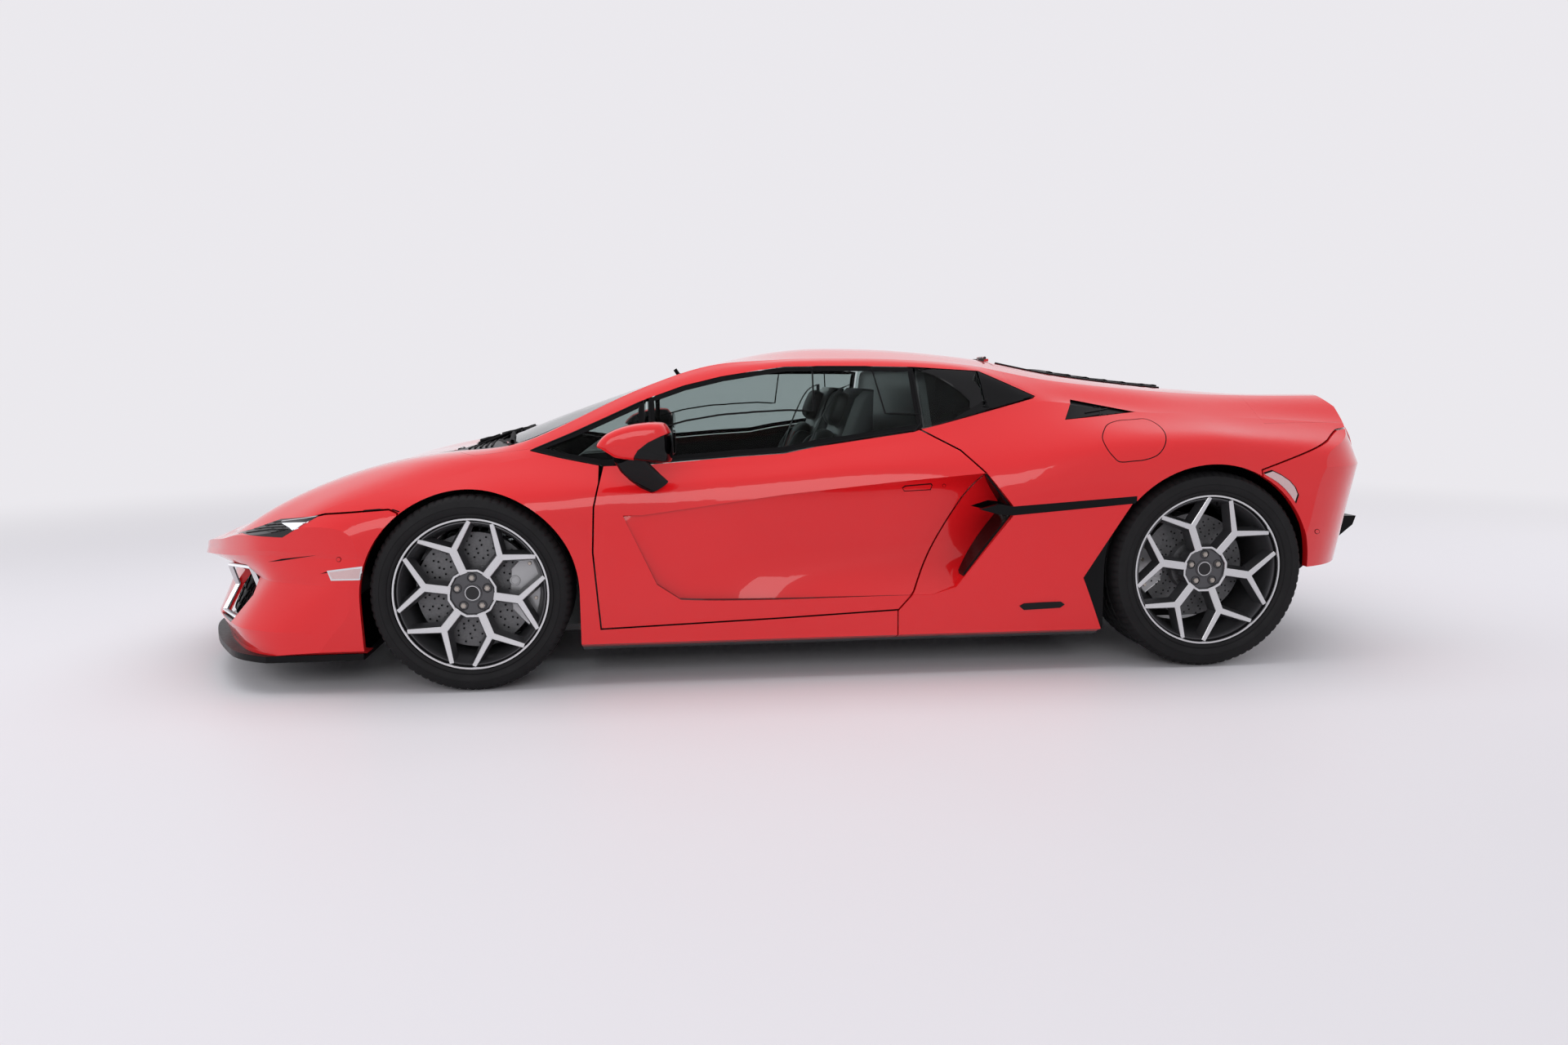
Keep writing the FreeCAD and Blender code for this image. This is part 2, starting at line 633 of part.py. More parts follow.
def arch_cutter(axle_x, radius, height, depth):
    inner = half_width - depth
    round_part = Part.makeCylinder(radius, depth + OVERRUN, Vector(axle_x, inner, height), Vector(0, 1, 0))
    low = Vector(axle_x - radius, inner, -OVERRUN)
    high = Vector(axle_x + radius, half_width + OVERRUN, height)
    return round_part.fuse(box_between(low, high))


def shell_between(outside, inside, first, last):
    """The body's skin between two depths and two stations, with no groove or arch in it."""
    skin_out = body_loft(outside, outside, FLOOR_HEIGHT, first, last)
    return skin_out.cut(body_loft(inside, inside, FLOOR_HEIGHT - OVERRUN, first - FAIRING, last + FAIRING))


front_arch_cut = arch_cutter(front_axle_x, FRONT_ARCH_RADIUS, FRONT_ARCH_HEIGHT, FRONT_WELL_DEPTH)
rear_arch_cut = arch_cutter(rear_axle_x, REAR_ARCH_RADIUS, REAR_ARCH_HEIGHT, REAR_WELL_DEPTH)
rear_arch_round = rear_arch_cut
flap_room = side_prism(rear_arch_front_shares, 0, half_width - FLAP_DEPTH, half_width - FLAP_RECESS)
rear_arch_cut = rear_arch_cut.fuse(side_prism(rear_arch_front_shares, 0, half_width - FLAP_DEPTH))


hood_hinge_z = hood_hinge_share[1] * HEIGHT
cover_hinge_z = cover_hinge_share[1] * HEIGHT

# The outer form of the whole body, before it is split into panels

def whole_body():
    body = body_loft(0, 0, FLOOR_HEIGHT)
    body = body.common(nose_envelope(0))
    body = body.common(tail_envelope(0))
    scallop = scallop_cutter()
    cuts = [scallop, mirrored(scallop)]
    cuts += [front_arch_cut, mirrored(front_arch_cut), rear_arch_cut, mirrored(rear_arch_cut)]
    nose_floor = box_between(Vector(nose_x - OVERRUN, -far, -OVERRUN),
                             Vector(front_axle_x - front_tyre_radius, far, HEIGHT * nose_floor_share))
    tail_floor = box_between(Vector(rear_axle_x + rear_tyre_radius - SKIN - RUNNING_GAP, -far, -OVERRUN),
                             Vector(tail_x + OVERRUN, far, HEIGHT * tail_floor_share))
    return body.cut(cuts + [nose_floor, tail_floor])


outer = whole_body()
cabin = body_loft(ROOF_FRAME, ROOF_FRAME, CABIN_FLOOR_HEIGHT, .035, .69, CABIN_HALF_WIDTH)
inner = body_loft(SKIN, SKIN, FLOOR_HEIGHT + SKIN)
inner = inner.common(nose_envelope(SKIN)).common(tail_envelope(SKIN))
groove_backing = scallop_cutter(SKIN, SKIN)
skin = outer.cut(inner.cut([groove_backing, mirrored(groove_backing)]))
skin_above = skin.cut(box_between(Vector(-far, -far, -far), Vector(far, far, FLOOR_HEIGHT + SKIN)))
roof_region = through_prism(roof_region_shares)
door_hole = side_prism(door_shares, half_gap, half_width / 2)
door_fill = side_prism(door_shares, -half_gap, half_width / 2)
cowl_hole = plan_prism(cowl_plan_shares, 0, HEIGHT * cowl_floor_share)
cowl_fill = plan_prism(cowl_plan_shares, -SEAT_GAP, HEIGHT * cowl_floor_share)


# Roof with its pillars, doors and glass

def glass_shell():
    outside = body_loft(GLASS_RECESS, GLASS_RECESS, FLOOR_HEIGHT, 0, .82)
    inside = body_loft(GLASS_RECESS + GLASS, GLASS_RECESS + GLASS, FLOOR_HEIGHT + GLASS, 0, .82)
    return outside.cut(inside)


def build_upper():
    window_hole = side_prism(glass_shares, 0, half_width / 2)
    windshield_hole = plan_prism(windshield_shares, 0, HEIGHT * glass_floor_share)
    engine_room = body_loft(SKIN, SKIN, FLOOR_HEIGHT + SKIN, .5, .9).common(
        box_between(Vector(station_x(engine_wall_share), -far, 0), Vector(far, far, far)))
    shell = outer.cut([cabin, engine_room]).common(roof_region)
    pane = glass_shell()
    roof = shell.cut([window_hole, mirrored(window_hole), windshield_hole, cowl_hole])
    save("roof", solids_over(roof, SKIN ** 3))
    windshield = pane.common(plan_prism(windshield_shares, -SEAT_GAP, HEIGHT * glass_floor_share))
    windshield = windshield.common(roof_region)
    save("windshield", biggest(windshield))
    side_pane = pane.common(side_prism(glass_shares, -SEAT_GAP, half_width / 2))
    front_slab = box_between(Vector(nose_x, 0, 0), Vector(station_x(mullion_share) - half_gap, far, far))
    door_slab = box_between(Vector(station_x(mullion_share) + half_gap, 0, 0),
                            Vector(station_x(pillar_share) - SHUT_GAP, far, far))
    rear_slab = box_between(Vector(station_x(pillar_share) + half_gap, 0, 0),
                            Vector(station_x(quarter_pillar_share) + OVERRUN * 2, far, far))
    tip_slab = box_between(Vector(station_x(quarter_pillar_share) + OVERRUN * 2 + half_gap, 0, 0),
                           Vector(tail_x, far, far))
    fixed_panes = side_pane.cut(door_hole)
    front_pane, rear_pane = biggest(fixed_panes.common(front_slab)), biggest(fixed_panes.common(rear_slab))
    save("quarter_windows", pair(Part.makeCompound([front_pane, rear_pane])))
    seated = [(at, height - belt_overlap_share) for at, height in belt_line_share]
    seated += [(at, height + belt_overlap_share) for at, height in reversed(belt_line_share)]
    opening = side_prism(glass_shares, -SHUT_GAP, half_width / 2).fuse(side_prism(seated, 0, half_width / 2))
    start, end, height = glass_run_shares
    run = box_between(Vector(station_x(start), 0, HEIGHT * height), Vector(station_x(end), far, far))
    opening = opening.fuse(side_pane.common(run))
    opening = opening.cut(side_prism(door_shares, SEAT_GAP - half_gap, half_width / 2))
    door_pane = biggest(pane.common(door_slab).common(opening))
    save("door_glass_right", door_pane)
    save("door_glass_left", mirrored(door_pane))
    outside = body_loft(0, 0, FLOOR_HEIGHT, 0, .85)
    inside = body_loft(ROOF_FRAME, ROOF_FRAME, FLOOR_HEIGHT, 0, .85)
    blade = outside.cut(inside).common(side_prism(glass_shares, -half_gap, half_width / 2)).common(tip_slab)
    save("pillar_blades", pair(biggest(blade)))


def build_doors():
    core_fill = side_prism(door_shares, -DOOR_FLANGE, half_width / 2)
    cavity = body_loft(ROOF_FRAME, ROOF_FRAME, FLOOR_HEIGHT, .035, .74, DOOR_INNER_HALF_WIDTH)
    above = through_prism(roof_region_shares, SHUT_GAP)
    core = outer.cut(cavity).common(core_fill).cut(above)
    panel = skin_above.common(door_fill).cut(above)
    door = biggest(core.fuse(panel))
    save("door_right", door)
    save("door_left", mirrored(door))


def build_mirrors():
    rings = []
    for breadth, size in mirror_ring_shares:
        face = side_face(mirror_shares)
        middle = face.CenterOfMass
        face.scale(size, middle)
        face.translate(Vector(0, breadth * half_width, 0))
        rings.append(face.OuterWire)
    head = Part.makeLoft(rings, True, True)
    foot, neck = [Vector(station_x(at), half_width * breadth, HEIGHT * height)
                  for at, breadth, height in mirror_stalk_shares]
    stalk = rod(foot, neck, MIRROR_STALK)
    mirror = head.fuse(stalk).cut(outer)
    save("mirror_right", biggest(mirror))
    save("mirror_left", mirrored(biggest(mirror)))


def rod(start, end, radius):
    along = end - start
    return Part.makeCylinder(radius, along.Length, start, along)


build_upper()
build_doors()
build_mirrors()


# Bonnet, engine cover, wings, bumpers and lamps

def halves(shape, least):
    """The shape on both sides, from its right half."""
    right = shape.common(box_between(Vector(-far, 0, -far), Vector(far, far, far)))
    return pair(solids_over(right, least))


def lid_hinges(place, toward):
    """Knuckles on a pin across the car, for the lid and for the body, and the room round each."""
    axis_x, axis_z = station_x(place[0]), place[1] * HEIGHT

    def barrel(start, radius, size):
        return Part.makeCylinder(radius, size, Vector(axis_x, start, axis_z), Vector(0, 1, 0))

    def knuckle(start, way):
        near, over = sorted([way * HINGE_PIN_RADIUS, way * HINGE_LEAF])
        leaf = box_between(Vector(axis_x + near, start, axis_z - HINGE_DROP),
                           Vector(axis_x + over, start + HINGE_LENGTH, axis_z - HINGE_PIN_RADIUS))
        return barrel(start, HINGE_RADIUS, HINGE_LENGTH).fuse(leaf)

    lid, body, lid_room, body_room, bores = [], [], [], [], []
    step = HINGE_LENGTH + SHUT_GAP
    for side in (-1, 1):
        start = side * hinge_spread_share * half_width - HINGE_LENGTH / 2
        bores.append(barrel(start, HINGE_PIN_RADIUS + SEAT_GAP, HINGE_LENGTH))
        lid.append(knuckle(start, toward))
        body_room.append(barrel(start - SHUT_GAP, HINGE_RADIUS + SHUT_GAP, HINGE_LENGTH + 2 * SHUT_GAP))
        body.append(barrel(start - step, HINGE_PIN_RADIUS, HINGE_LENGTH + 2 * step))
        bores.append(barrel(start - SHUT_GAP, HINGE_PIN_RADIUS + SEAT_GAP, HINGE_LENGTH + 2 * SHUT_GAP))
        for way in (-1, 1):
            body.append(knuckle(start + way * step, -toward))
            lid_room.append(barrel(start + way * step - SHUT_GAP, HINGE_RADIUS + SHUT_GAP,
                                   HINGE_LENGTH + 2 * SHUT_GAP))
    return lid, body, lid_room, body_room, bores


def split_skin():
    roof_hole = through_prism(roof_region_shares, SEAT_GAP)
    window_hole = side_prism(glass_shares, 0, half_width / 2)
    window_holes = [window_hole, mirrored(window_hole)]
    bumper_hole = through_prism(bumper_side_shares, half_gap)
    bumper_fill = through_prism(bumper_side_shares, -half_gap)
    hood_way = {"lean": hood_lean_share, "pivot": hood_hinge_z}
    hood_hole = plan_prism(hood_plan_shares, half_gap, HEIGHT * hood_floor_share, **hood_way)
    hood_fill = plan_prism(hood_plan_shares, -half_gap, HEIGHT * hood_floor_share, **hood_way)
    cover_way = {"lean": cover_lean_share, "pivot": cover_hinge_z}
    cover_hole = plan_prism(cover_plan_shares, half_gap, HEIGHT * cover_floor_share, **cover_way)
    cover_fill = plan_prism(cover_plan_shares, -half_gap, HEIGHT * cover_floor_share, **cover_way)
    rear_hole = through_prism(rear_bumper_shares, half_gap)
    rear_fill = through_prism(rear_bumper_shares, -half_gap)
    spoiler_hole = through_prism(spoiler_region_shares, SEAT_GAP)
    spoiler_fill = through_prism(spoiler_region_shares, 0)
    lamp_hole = side_prism(lamp_side_shares, 0, half_width * lamp_inner_share)
    lamp_fill = side_prism(lamp_side_shares, -SEAT_GAP, half_width * lamp_inner_share)
    tail_lamp_hole = end_prism(tail_lamp_shares, 0, False)
    tail_lamp_fill = end_prism(tail_lamp_shares, -SEAT_GAP, False)
    front_half = box_between(Vector(nose_x - OVERRUN, -far, -far), Vector(station_x(.1655), far, far))
    rear_half = box_between(Vector(station_x(.5651), -far, -far), Vector(tail_x + OVERRUN, far, far))
    doors = [door_hole, mirrored(door_hole)]
    lamps = [lamp_hole, mirrored(lamp_hole)]
    intakes = [end_prism(side_intake_shares), end_prism(middle_intake_shares)]
    intakes += [mirrored(intake) for intake in intakes]
    outlets = [end_prism(exhaust_shares, 0, False), end_prism(tail_grille_shares, 0, False), tail_lamp_hole]
    outlets += [mirrored(outlet) for outlet in outlets]
    outlets.append(box_between(Vector(0, REAR_WELL_DEPTH - half_width, 0),
                               Vector(far, half_width - REAR_WELL_DEPTH,
                                      HEIGHT * diffuser_top_share + SEAT_GAP)))
    save("front_bumper", biggest(skin_above.common(bumper_fill).cut(lamps + intakes)))
    on_hood, on_cowl, hood_room, cowl_room, bores = lid_hinges(hood_hinge_share, -1)
    hood = biggest(skin_above.common(hood_fill).cut([bumper_hole] + lamps + hood_room))
    save("hood", biggest(hood.fuse(on_hood).cut(bores)))
    sills = [side_prism(sill_region_shares, 0, half_width / 2)]
    sills.append(mirrored(sills[0]))
    fenders = skin_above.common(front_half).cut(
        [bumper_hole, hood_hole, cowl_hole, roof_hole] + doors + lamps + sills + window_holes)
    save("front_fenders", halves(fenders, SKIN ** 3))
    cowl = biggest(skin_above.common(cowl_fill).cut([hood_hole] + cowl_room))
    save("cowl", biggest(cowl.fuse(on_cowl)))
    save("headlamps", pair(biggest(skin_above.common(lamp_fill))))
    on_cover, on_body, cover_room, body_room, bores = lid_hinges(cover_hinge_share, 1)
    louvres = []
    for station in louvre_stations_share:
        low = Vector(station_x(station), -half_width * louvre_half_share, HEIGHT * cover_floor_share)
        louvres.append(box_between(low, Vector(low.x + LOUVRE, -low.y, 2 * HEIGHT)))
    cover = biggest(skin_above.common(cover_fill).cut([roof_hole, rear_hole] + cover_room + louvres))
    save("engine_cover", biggest(cover.fuse(on_cover).cut(bores)))
    save("rear_bumper", biggest(skin_above.common(rear_fill).cut(outlets)))
    save("tail_lamps", pair(biggest(skin_above.common(tail_lamp_fill))))
    save("rear_spoiler", biggest(skin_above.common(spoiler_fill).cut(rear_hole)))
    inserts = [side_prism(blade_shares, 0, half_width / 2), side_prism(vent_shares, 0, half_width / 2)]
    inserts += [mirrored(insert) for insert in inserts]
    groove = scallop_cutter()
    quarters = skin_above.common(rear_half)
    quarters = quarters.cut(
        [cover_hole, roof_hole, rear_hole, spoiler_hole] + doors + inserts + window_holes + body_room)
    save("rear_quarters", solids_over(quarters.fuse(on_body), SKIN ** 3))
    blade = shell_between(0, SKIN, .6, 1).common(side_prism(blade_shares, -SEAT_GAP, half_width / 2))
    save("side_blades", pair(biggest(blade.cut(rear_arch_round))))
    mouth = box_between(Vector(station_x(intake_stations_share[0]), 0, HEIGHT * mouth_floor_share),
                        Vector(station_x(intake_stations_share[1]), half_width * mouth_outer_share, HEIGHT))
    lining = groove.common(mouth).cut([side_prism(scallop_side_shares, -LINER, half_width / 2), door_hole])
    lining = lining.cut(side_prism(blade_shares, 0, half_width / 2))
    save("side_intakes", pair(solids_over(lining, SKIN ** 2)))
    flap = side_prism(rear_arch_front_shares, -SEAT_GAP, half_width - FLAP_DEPTH, half_width - FLAP_RECESS)
    flap = flap.cut(rear_arch_round).common(body_loft(SKIN / 2, SKIN / 2, FLOOR_HEIGHT, .7, 1.1))
    save("arch_flaps", pair(biggest(flap)))
    mesh = body_loft(LINER, LINER, FLOOR_HEIGHT, .7, 1.1).cut(body_loft(SKIN, SKIN, FLOOR_HEIGHT, .7, 1.1))
    save("vent_grilles", pair(biggest(mesh.common(side_prism(vent_shares, -SEAT_GAP, half_width / 2)))))


split_skin()


# Underbody, tub and sills

def profile_block(shares, half_breadth, offset=0):
    face = side_face(shares)
    face.translate(Vector(0, offset - half_breadth, 0))
    return face.extrude(Vector(0, 2 * half_breadth, 0))


def build_underbody():
    slab = box_between(Vector(front_axle_x - front_tyre_radius, -far, 0), Vector(tail_x, far, floor_top))
    floor = outer.common(slab)
    ramp = through_prism(floor_ramp_shares)
    pads = []
    for station in jack_stations_share:
        centre = Vector(station_x(station), CABIN_HALF_WIDTH, FLOOR_HEIGHT - JACK_PAD_DEPTH)
        pads.append(Part.makeCylinder(JACK_PAD_RADIUS, JACK_PAD_DEPTH, centre))
    pads += [mirrored(pad) for pad in pads]
    save("floor_pan", biggest(floor.cut(ramp).fuse(pads)))
    low = Vector(station_x(inner_sill_stations_share[0]), CABIN_HALF_WIDTH - SILL_WIDTH, floor_top)
    high = Vector(station_x(inner_sill_stations_share[1]), CABIN_HALF_WIDTH, SILL_HEIGHT)
    save("inner_sills", pair(box_between(low, high)))
    front, back = [station_x(at) for at in bulkhead_stations_share]
    low = Vector(front, SILL_WIDTH / 2 - CABIN_HALF_WIDTH, floor_top)
    high = Vector(front + BULKHEAD, CABIN_HALF_WIDTH - SILL_WIDTH / 2,
                  HEIGHT * bulkhead_top_share - SEAT_GAP)
    save("front_bulkhead", box_between(low, high))
    slab = box_between(Vector(back, -half_width, floor_top), Vector(back + BULKHEAD, half_width, HEIGHT))
    inset = ROOF_FRAME + GLASS_RECESS
    room = body_loft(inset, inset, FLOOR_HEIGHT, .035, .69, CABIN_HALF_WIDTH)
    save("rear_bulkhead", biggest(slab.common(room)))
    tub = profile_block(tub_shares, TUB_HALF_WIDTH)
    hollow = profile_block(tub_hollow_shares, TUB_HALF_WIDTH - TUB_WALL)
    rails = []
    for side in (-1, 1):
        rail = profile_block(crash_rail_shares, TUB_WALL, side * TUB_HALF_WIDTH / 2)
        above = box_between(Vector(-far, -far, floor_top + SEAT_GAP), Vector(far, far, far))
        rails.append(rail.common(above))
    save("luggage_tub", biggest(tub.fuse(rails).cut(hollow)))
    sill = skin_above.common(side_prism(sill_region_shares, 0, half_width / 2))
    save("side_sills", pair(biggest(sill.cut(door_hole))))


# Wheels: drawn about the Y axis with +Y outwards, then moved to the hub

def lathe(profile):
    """A closed (radius, along the axle) outline turned about the axle."""
    points = [Vector(radius, along, 0) for radius, along in profile]
    face = Part.Face(Part.makePolygon(points + [points[0]]))
    return face.revolve(Vector(), Vector(0, 1, 0), 360)


def strip(start, end, width, end_width, front):
    """A tapered bar in the wheel's face from one (x, z) place to another."""
    direction = (end - start).normalize()
    side = Vector(-direction.z, 0, direction.x)
    corners = [start - side * (width / 2), end - side * (end_width / 2),
               end + side * (end_width / 2), start + side * (width / 2)]
    face = Part.Face(Part.makePolygon(corners + [corners[0]]))
    face.translate(Vector(0, front - SPOKE_DEPTH, 0))
    return face.extrude(Vector(0, SPOKE_DEPTH, 0))


def on_face(radius, degrees):
    angle = math.radians(degrees)
    return Vector(radius * math.cos(angle), 0, radius * math.sin(angle))


def make_tyre(diameter, width, rim_diameter):
    outside = diameter / 2
    bead = rim_diameter / 2 + SEAT_GAP
    half = width / 2
    wall = TYRE_SHOULDER / 2
    side = [(bead + up * wall, half - back * wall) for up, back in tyre_bead_shares]
    side += [(outside - down * wall, half - back * wall) for down, back in tyre_tread_shares]
    inside = [(outside - down * wall, half - back * wall) for down, back in tyre_inner_tread_shares]
    inside += [(bead + up * wall, half - back * wall) for up, back in tyre_inner_bead_shares]
    outline = side + [(r, -y) for r, y in reversed(side)]
    outline += [(r, -y) for r, y in reversed(inside)] + inside
    return lathe(outline)


def make_rim(rim_diameter, tyre_width):
    radius = rim_diameter / 2
    edge = tyre_width / 2 - TYRE_SHOULDER / 2
    well = radius - RIM_BARREL
    barrel = lathe([(well - RIM_LIP / 2, edge), (well - RIM_LIP / 2, edge - RIM_LIP / 2),
                    (well - RIM_BARREL, edge - RIM_FACE_DEPTH), (well - RIM_BARREL, -edge),
                    (radius + RIM_LIP / 2, -edge), (radius + RIM_LIP / 2, RIM_BARREL / 2 - edge),
                    (radius, RIM_BARREL - edge), (radius, edge - RIM_BARREL),
                    (radius + RIM_LIP / 2, edge - RIM_BARREL / 2), (radius + RIM_LIP / 2, edge)])
    front = edge - SPOKE_SETBACK
    hub_front = front - RIM_FACE_DEPTH
    hub = Part.makeCylinder(HUB_RADIUS, HUB_DEPTH, Vector(0, hub_front - HUB_DEPTH, 0), Vector(0, 1, 0))
    joined = [barrel]
    fork_radius = radius * fork_share
    reach = well - RIM_BARREL / 2
    for spoke in range(SPOKES):
        turn = SPOKE_START + spoke * 360 / SPOKES
        fork = on_face(fork_radius, turn)
        joined.append(strip(on_face(HUB_RADIUS / 2, turn), fork, SPOKE_WIDTH, SPOKE_WIDTH, front))
        for side in (-1, 1):
            end = on_face(reach, turn + side * fork_spread_share * 360)
            start = on_face(fork_radius - SPOKE_WIDTH / 4, turn)
            joined.append(strip(start, end, SPOKE_ARM_WIDTH, SPOKE_TIP_WIDTH, front))
    rim = hub.multiFuse(joined)
    rim_face = radius * rim_face_share
    dish = lathe([(0, front + OVERRUN), (rim_face, front + OVERRUN), (rim_face, front),
                  (HUB_RADIUS, hub_front), (0, hub_front)])
    rim = rim.cut(dish)
    pockets = []
    for bolt in range(BOLTS):
        spot = on_face(BOLT_CIRCLE_RADIUS, 90 + bolt * 360 / BOLTS)
        spot.y = hub_front - BOLT_POCKET
        pockets.append(Part.makeCylinder(BOLT_RADIUS, BOLT_POCKET + OVERRUN, spot, Vector(0, 1, 0)))
    cap = Part.makeCylinder(CAP_RADIUS, CAP_DEPTH, Vector(0, hub_front, 0), Vector(0, 1, 0))
    hub_back = hub_front - HUB_DEPTH
    bore = Part.makeCylinder(AXLE_RADIUS + SEAT_GAP, HUB_DEPTH * axle_bore_share, Vector(0, hub_back, 0),
                             Vector(0, 1, 0))
    return rim.cut(pockets + [bore]).fuse(cap), hub_back


def make_disc(diameter, hub_back):
    middle = -DISC_OFFSET
    inside = AXLE_RADIUS + SEAT_GAP
    back, front = middle - DISC_THICKNESS / 2, middle + DISC_THICKNESS / 2
    return lathe([(inside, back), (diameter / 2, back), (diameter / 2, front), (DISC_HAT_RADIUS, front),
                  (DISC_HAT_RADIUS, hub_back - SEAT_GAP), (inside, hub_back - SEAT_GAP)])


def make_caliper(disc_diameter, span, side):
    """A caliper that straddles the disc, on the side (+1 rear, -1 front) of the axle."""
    outside = disc_diameter / 2 + CALIPER_WALL
    within = disc_diameter / 2 - CALIPER_HEIGHT
    middle = -DISC_OFFSET
    half = CALIPER_THICKNESS / 2
    slot = DISC_THICKNESS / 2 + RUNNING_GAP / 2
    front = middle + half * caliper_front_share
    rim = (disc_diameter + RUNNING_GAP) / 2
    points = [(outside, middle - half), (outside, front), (within, front), (within, middle + slot),
              (rim, middle + slot), (rim, middle - slot), (within, middle - slot), (within, middle - half)]
    corners = [Vector(radius, along, 0) for radius, along in points]
    face = Part.Face(Part.makePolygon(corners + [corners[0]]))
    face.rotate(Vector(), Vector(0, 1, 0), span / 2)
    body = face.revolve(Vector(), Vector(0, -1, 0), span)
    if side < 0:
        body = body.mirror(Vector(), Vector(1, 0, 0))
    return body


def make_knuckle(disc_diameter, side, span, hub_back):
    back = -DISC_OFFSET - DISC_THICKNESS / 2
    reach = hub_back + HUB_DEPTH / 2 - back + KNUCKLE_THICKNESS
    spindle = Part.makeCylinder(AXLE_RADIUS, reach, Vector(0, back - KNUCKLE_THICKNESS, 0), Vector(0, 1, 0))
    front = back - RUNNING_GAP
    block = box_between(Vector(-KNUCKLE_LENGTH / 2, front - KNUCKLE_THICKNESS, -KNUCKLE_HEIGHT / 2),
                        Vector(KNUCKLE_LENGTH / 2, front, KNUCKLE_HEIGHT / 2))
    reach = disc_diameter / 2 - CALIPER_HEIGHT / 2
    ear = box_between(Vector(0, front - KNUCKLE_THICKNESS / 2, -KNUCKLE_LENGTH / 2),
                      Vector(reach, front, KNUCKLE_LENGTH / 2))
    if side < 0:
        ear = ear.mirror(Vector(), Vector(1, 0, 0))
    boss = Part.makeCylinder(KNUCKLE_BOSS_RADIUS, KNUCKLE_THICKNESS, Vector(0, front - KNUCKLE_THICKNESS, 0),
                             Vector(0, 1, 0))
    caliper = make_caliper(disc_diameter, span, side)
    return spindle.multiFuse([block, ear, boss]).cut(caliper), caliper


def moved(shape, x, y, z):
    copy = shape.copy()
    copy.translate(Vector(x, y, z))
    return copy


def build_wheels():
    places = [
        ("front", front_axle_x, FRONT_TRACK / 2, front_tyre_radius, FRONT_TYRE_DIAMETER, FRONT_TYRE_WIDTH,
         FRONT_RIM_DIAMETER, FRONT_DISC_DIAMETER, FRONT_CALIPER_SPAN, 1),
        ("rear", rear_axle_x, REAR_TRACK / 2, rear_tyre_radius, REAR_TYRE_DIAMETER, REAR_TYRE_WIDTH,
         REAR_RIM_DIAMETER, REAR_DISC_DIAMETER, REAR_CALIPER_SPAN, -1)]
    uprights = []
    for end, x, y, z, diameter, width, rim_diameter, disc_diameter, span, side in places:
        rim, hub_back = make_rim(rim_diameter, width)
        shapes = {"tyre": make_tyre(diameter, width, rim_diameter), "wheel": rim,
                  "brake_disc": make_disc(disc_diameter, hub_back)}
        for name, shape in shapes.items():
            at_hub = moved(shape, x, y, z)
            save(name + "_" + end + "_right", at_hub)
            save(name + "_" + end + "_left", mirrored(at_hub))
        knuckle, caliper = make_knuckle(disc_diameter, side, span, hub_back)
        knuckle = moved(knuckle, x, y, z)
        caliper = moved(caliper, x, y, z)
        if end == "front":
            save("knuckle_right", knuckle)
            save("knuckle_left", mirrored(knuckle))
            save("caliper_front_right", caliper)
            save("caliper_front_left", mirrored(caliper))
        else:
            save("rear_uprights", pair(knuckle))
            save("rear_calipers", pair(caliper))


# Suspension arms and liners

def build_suspension():
    parts = []
    for x, track, radius in ((front_axle_x, FRONT_TRACK / 2, front_tyre_radius),
                             (rear_axle_x, REAR_TRACK / 2, rear_tyre_radius)):
        seat = track - DISC_OFFSET - DISC_THICKNESS / 2 - RUNNING_GAP - KNUCKLE_THICKNESS / 2
        for rise in (-1, 1):
            z = radius + rise * (KNUCKLE_HEIGHT / 2 + ARM_RADIUS + SEAT_GAP)
            eye = Part.makeCylinder(ARM_EYE_RADIUS, 2 * ARM_RADIUS, Vector(x, seat, z - ARM_RADIUS))
            inboard = seat - ARM_LENGTH
            arms = [rod(Vector(x, seat, z), Vector(x + side * ARM_SPREAD, inboard, z), ARM_ROD_RADIUS)
                    for side in (-1, 1)]
            start = Vector(x - SUBFRAME_HALF_LENGTH, inboard, z)
            rail = rod(start, Vector(x + SUBFRAME_HALF_LENGTH, inboard, z),
                       ARM_RADIUS)
            parts.append(eye.multiFuse(arms + [rail]))
        top = radius + KNUCKLE_HEIGHT / 2 + 2 * ARM_RADIUS
        frame = box_between(Vector(x - SUBFRAME_HALF_LENGTH, inboard - SUBFRAME_WIDTH, floor_top),
                            Vector(x + SUBFRAME_HALF_LENGTH, inboard - ARM_RADIUS / 2, top))
        parts.append(frame)
    side = parts[0].multiFuse(parts[1:3])
    rear = parts[3].multiFuse(parts[4:6])
    save("suspension", Part.makeCompound([side, rear, mirrored(side), mirrored(rear)]))


def make_liner(x, height, radius, depth):
    inner_y = half_width - depth
    ring = Part.makeCylinder(radius + LINER, depth - 2 * SKIN, Vector(x, inner_y, height), Vector(0, 1, 0))
    hole = Part.makeCylinder(radius, depth, Vector(x, inner_y + LINER, height), Vector(0, 1, 0))
    low = box_between(Vector(x - far, inner_y - OVERRUN, -OVERRUN), Vector(x + far, far, height))
    middle = box_between(Vector(x - LINER_GAP, inner_y - OVERRUN, 0),
                         Vector(x + LINER_GAP, inner_y + 2 * LINER, height + KNUCKLE_HEIGHT))
    return ring.cut([hole, low, middle])


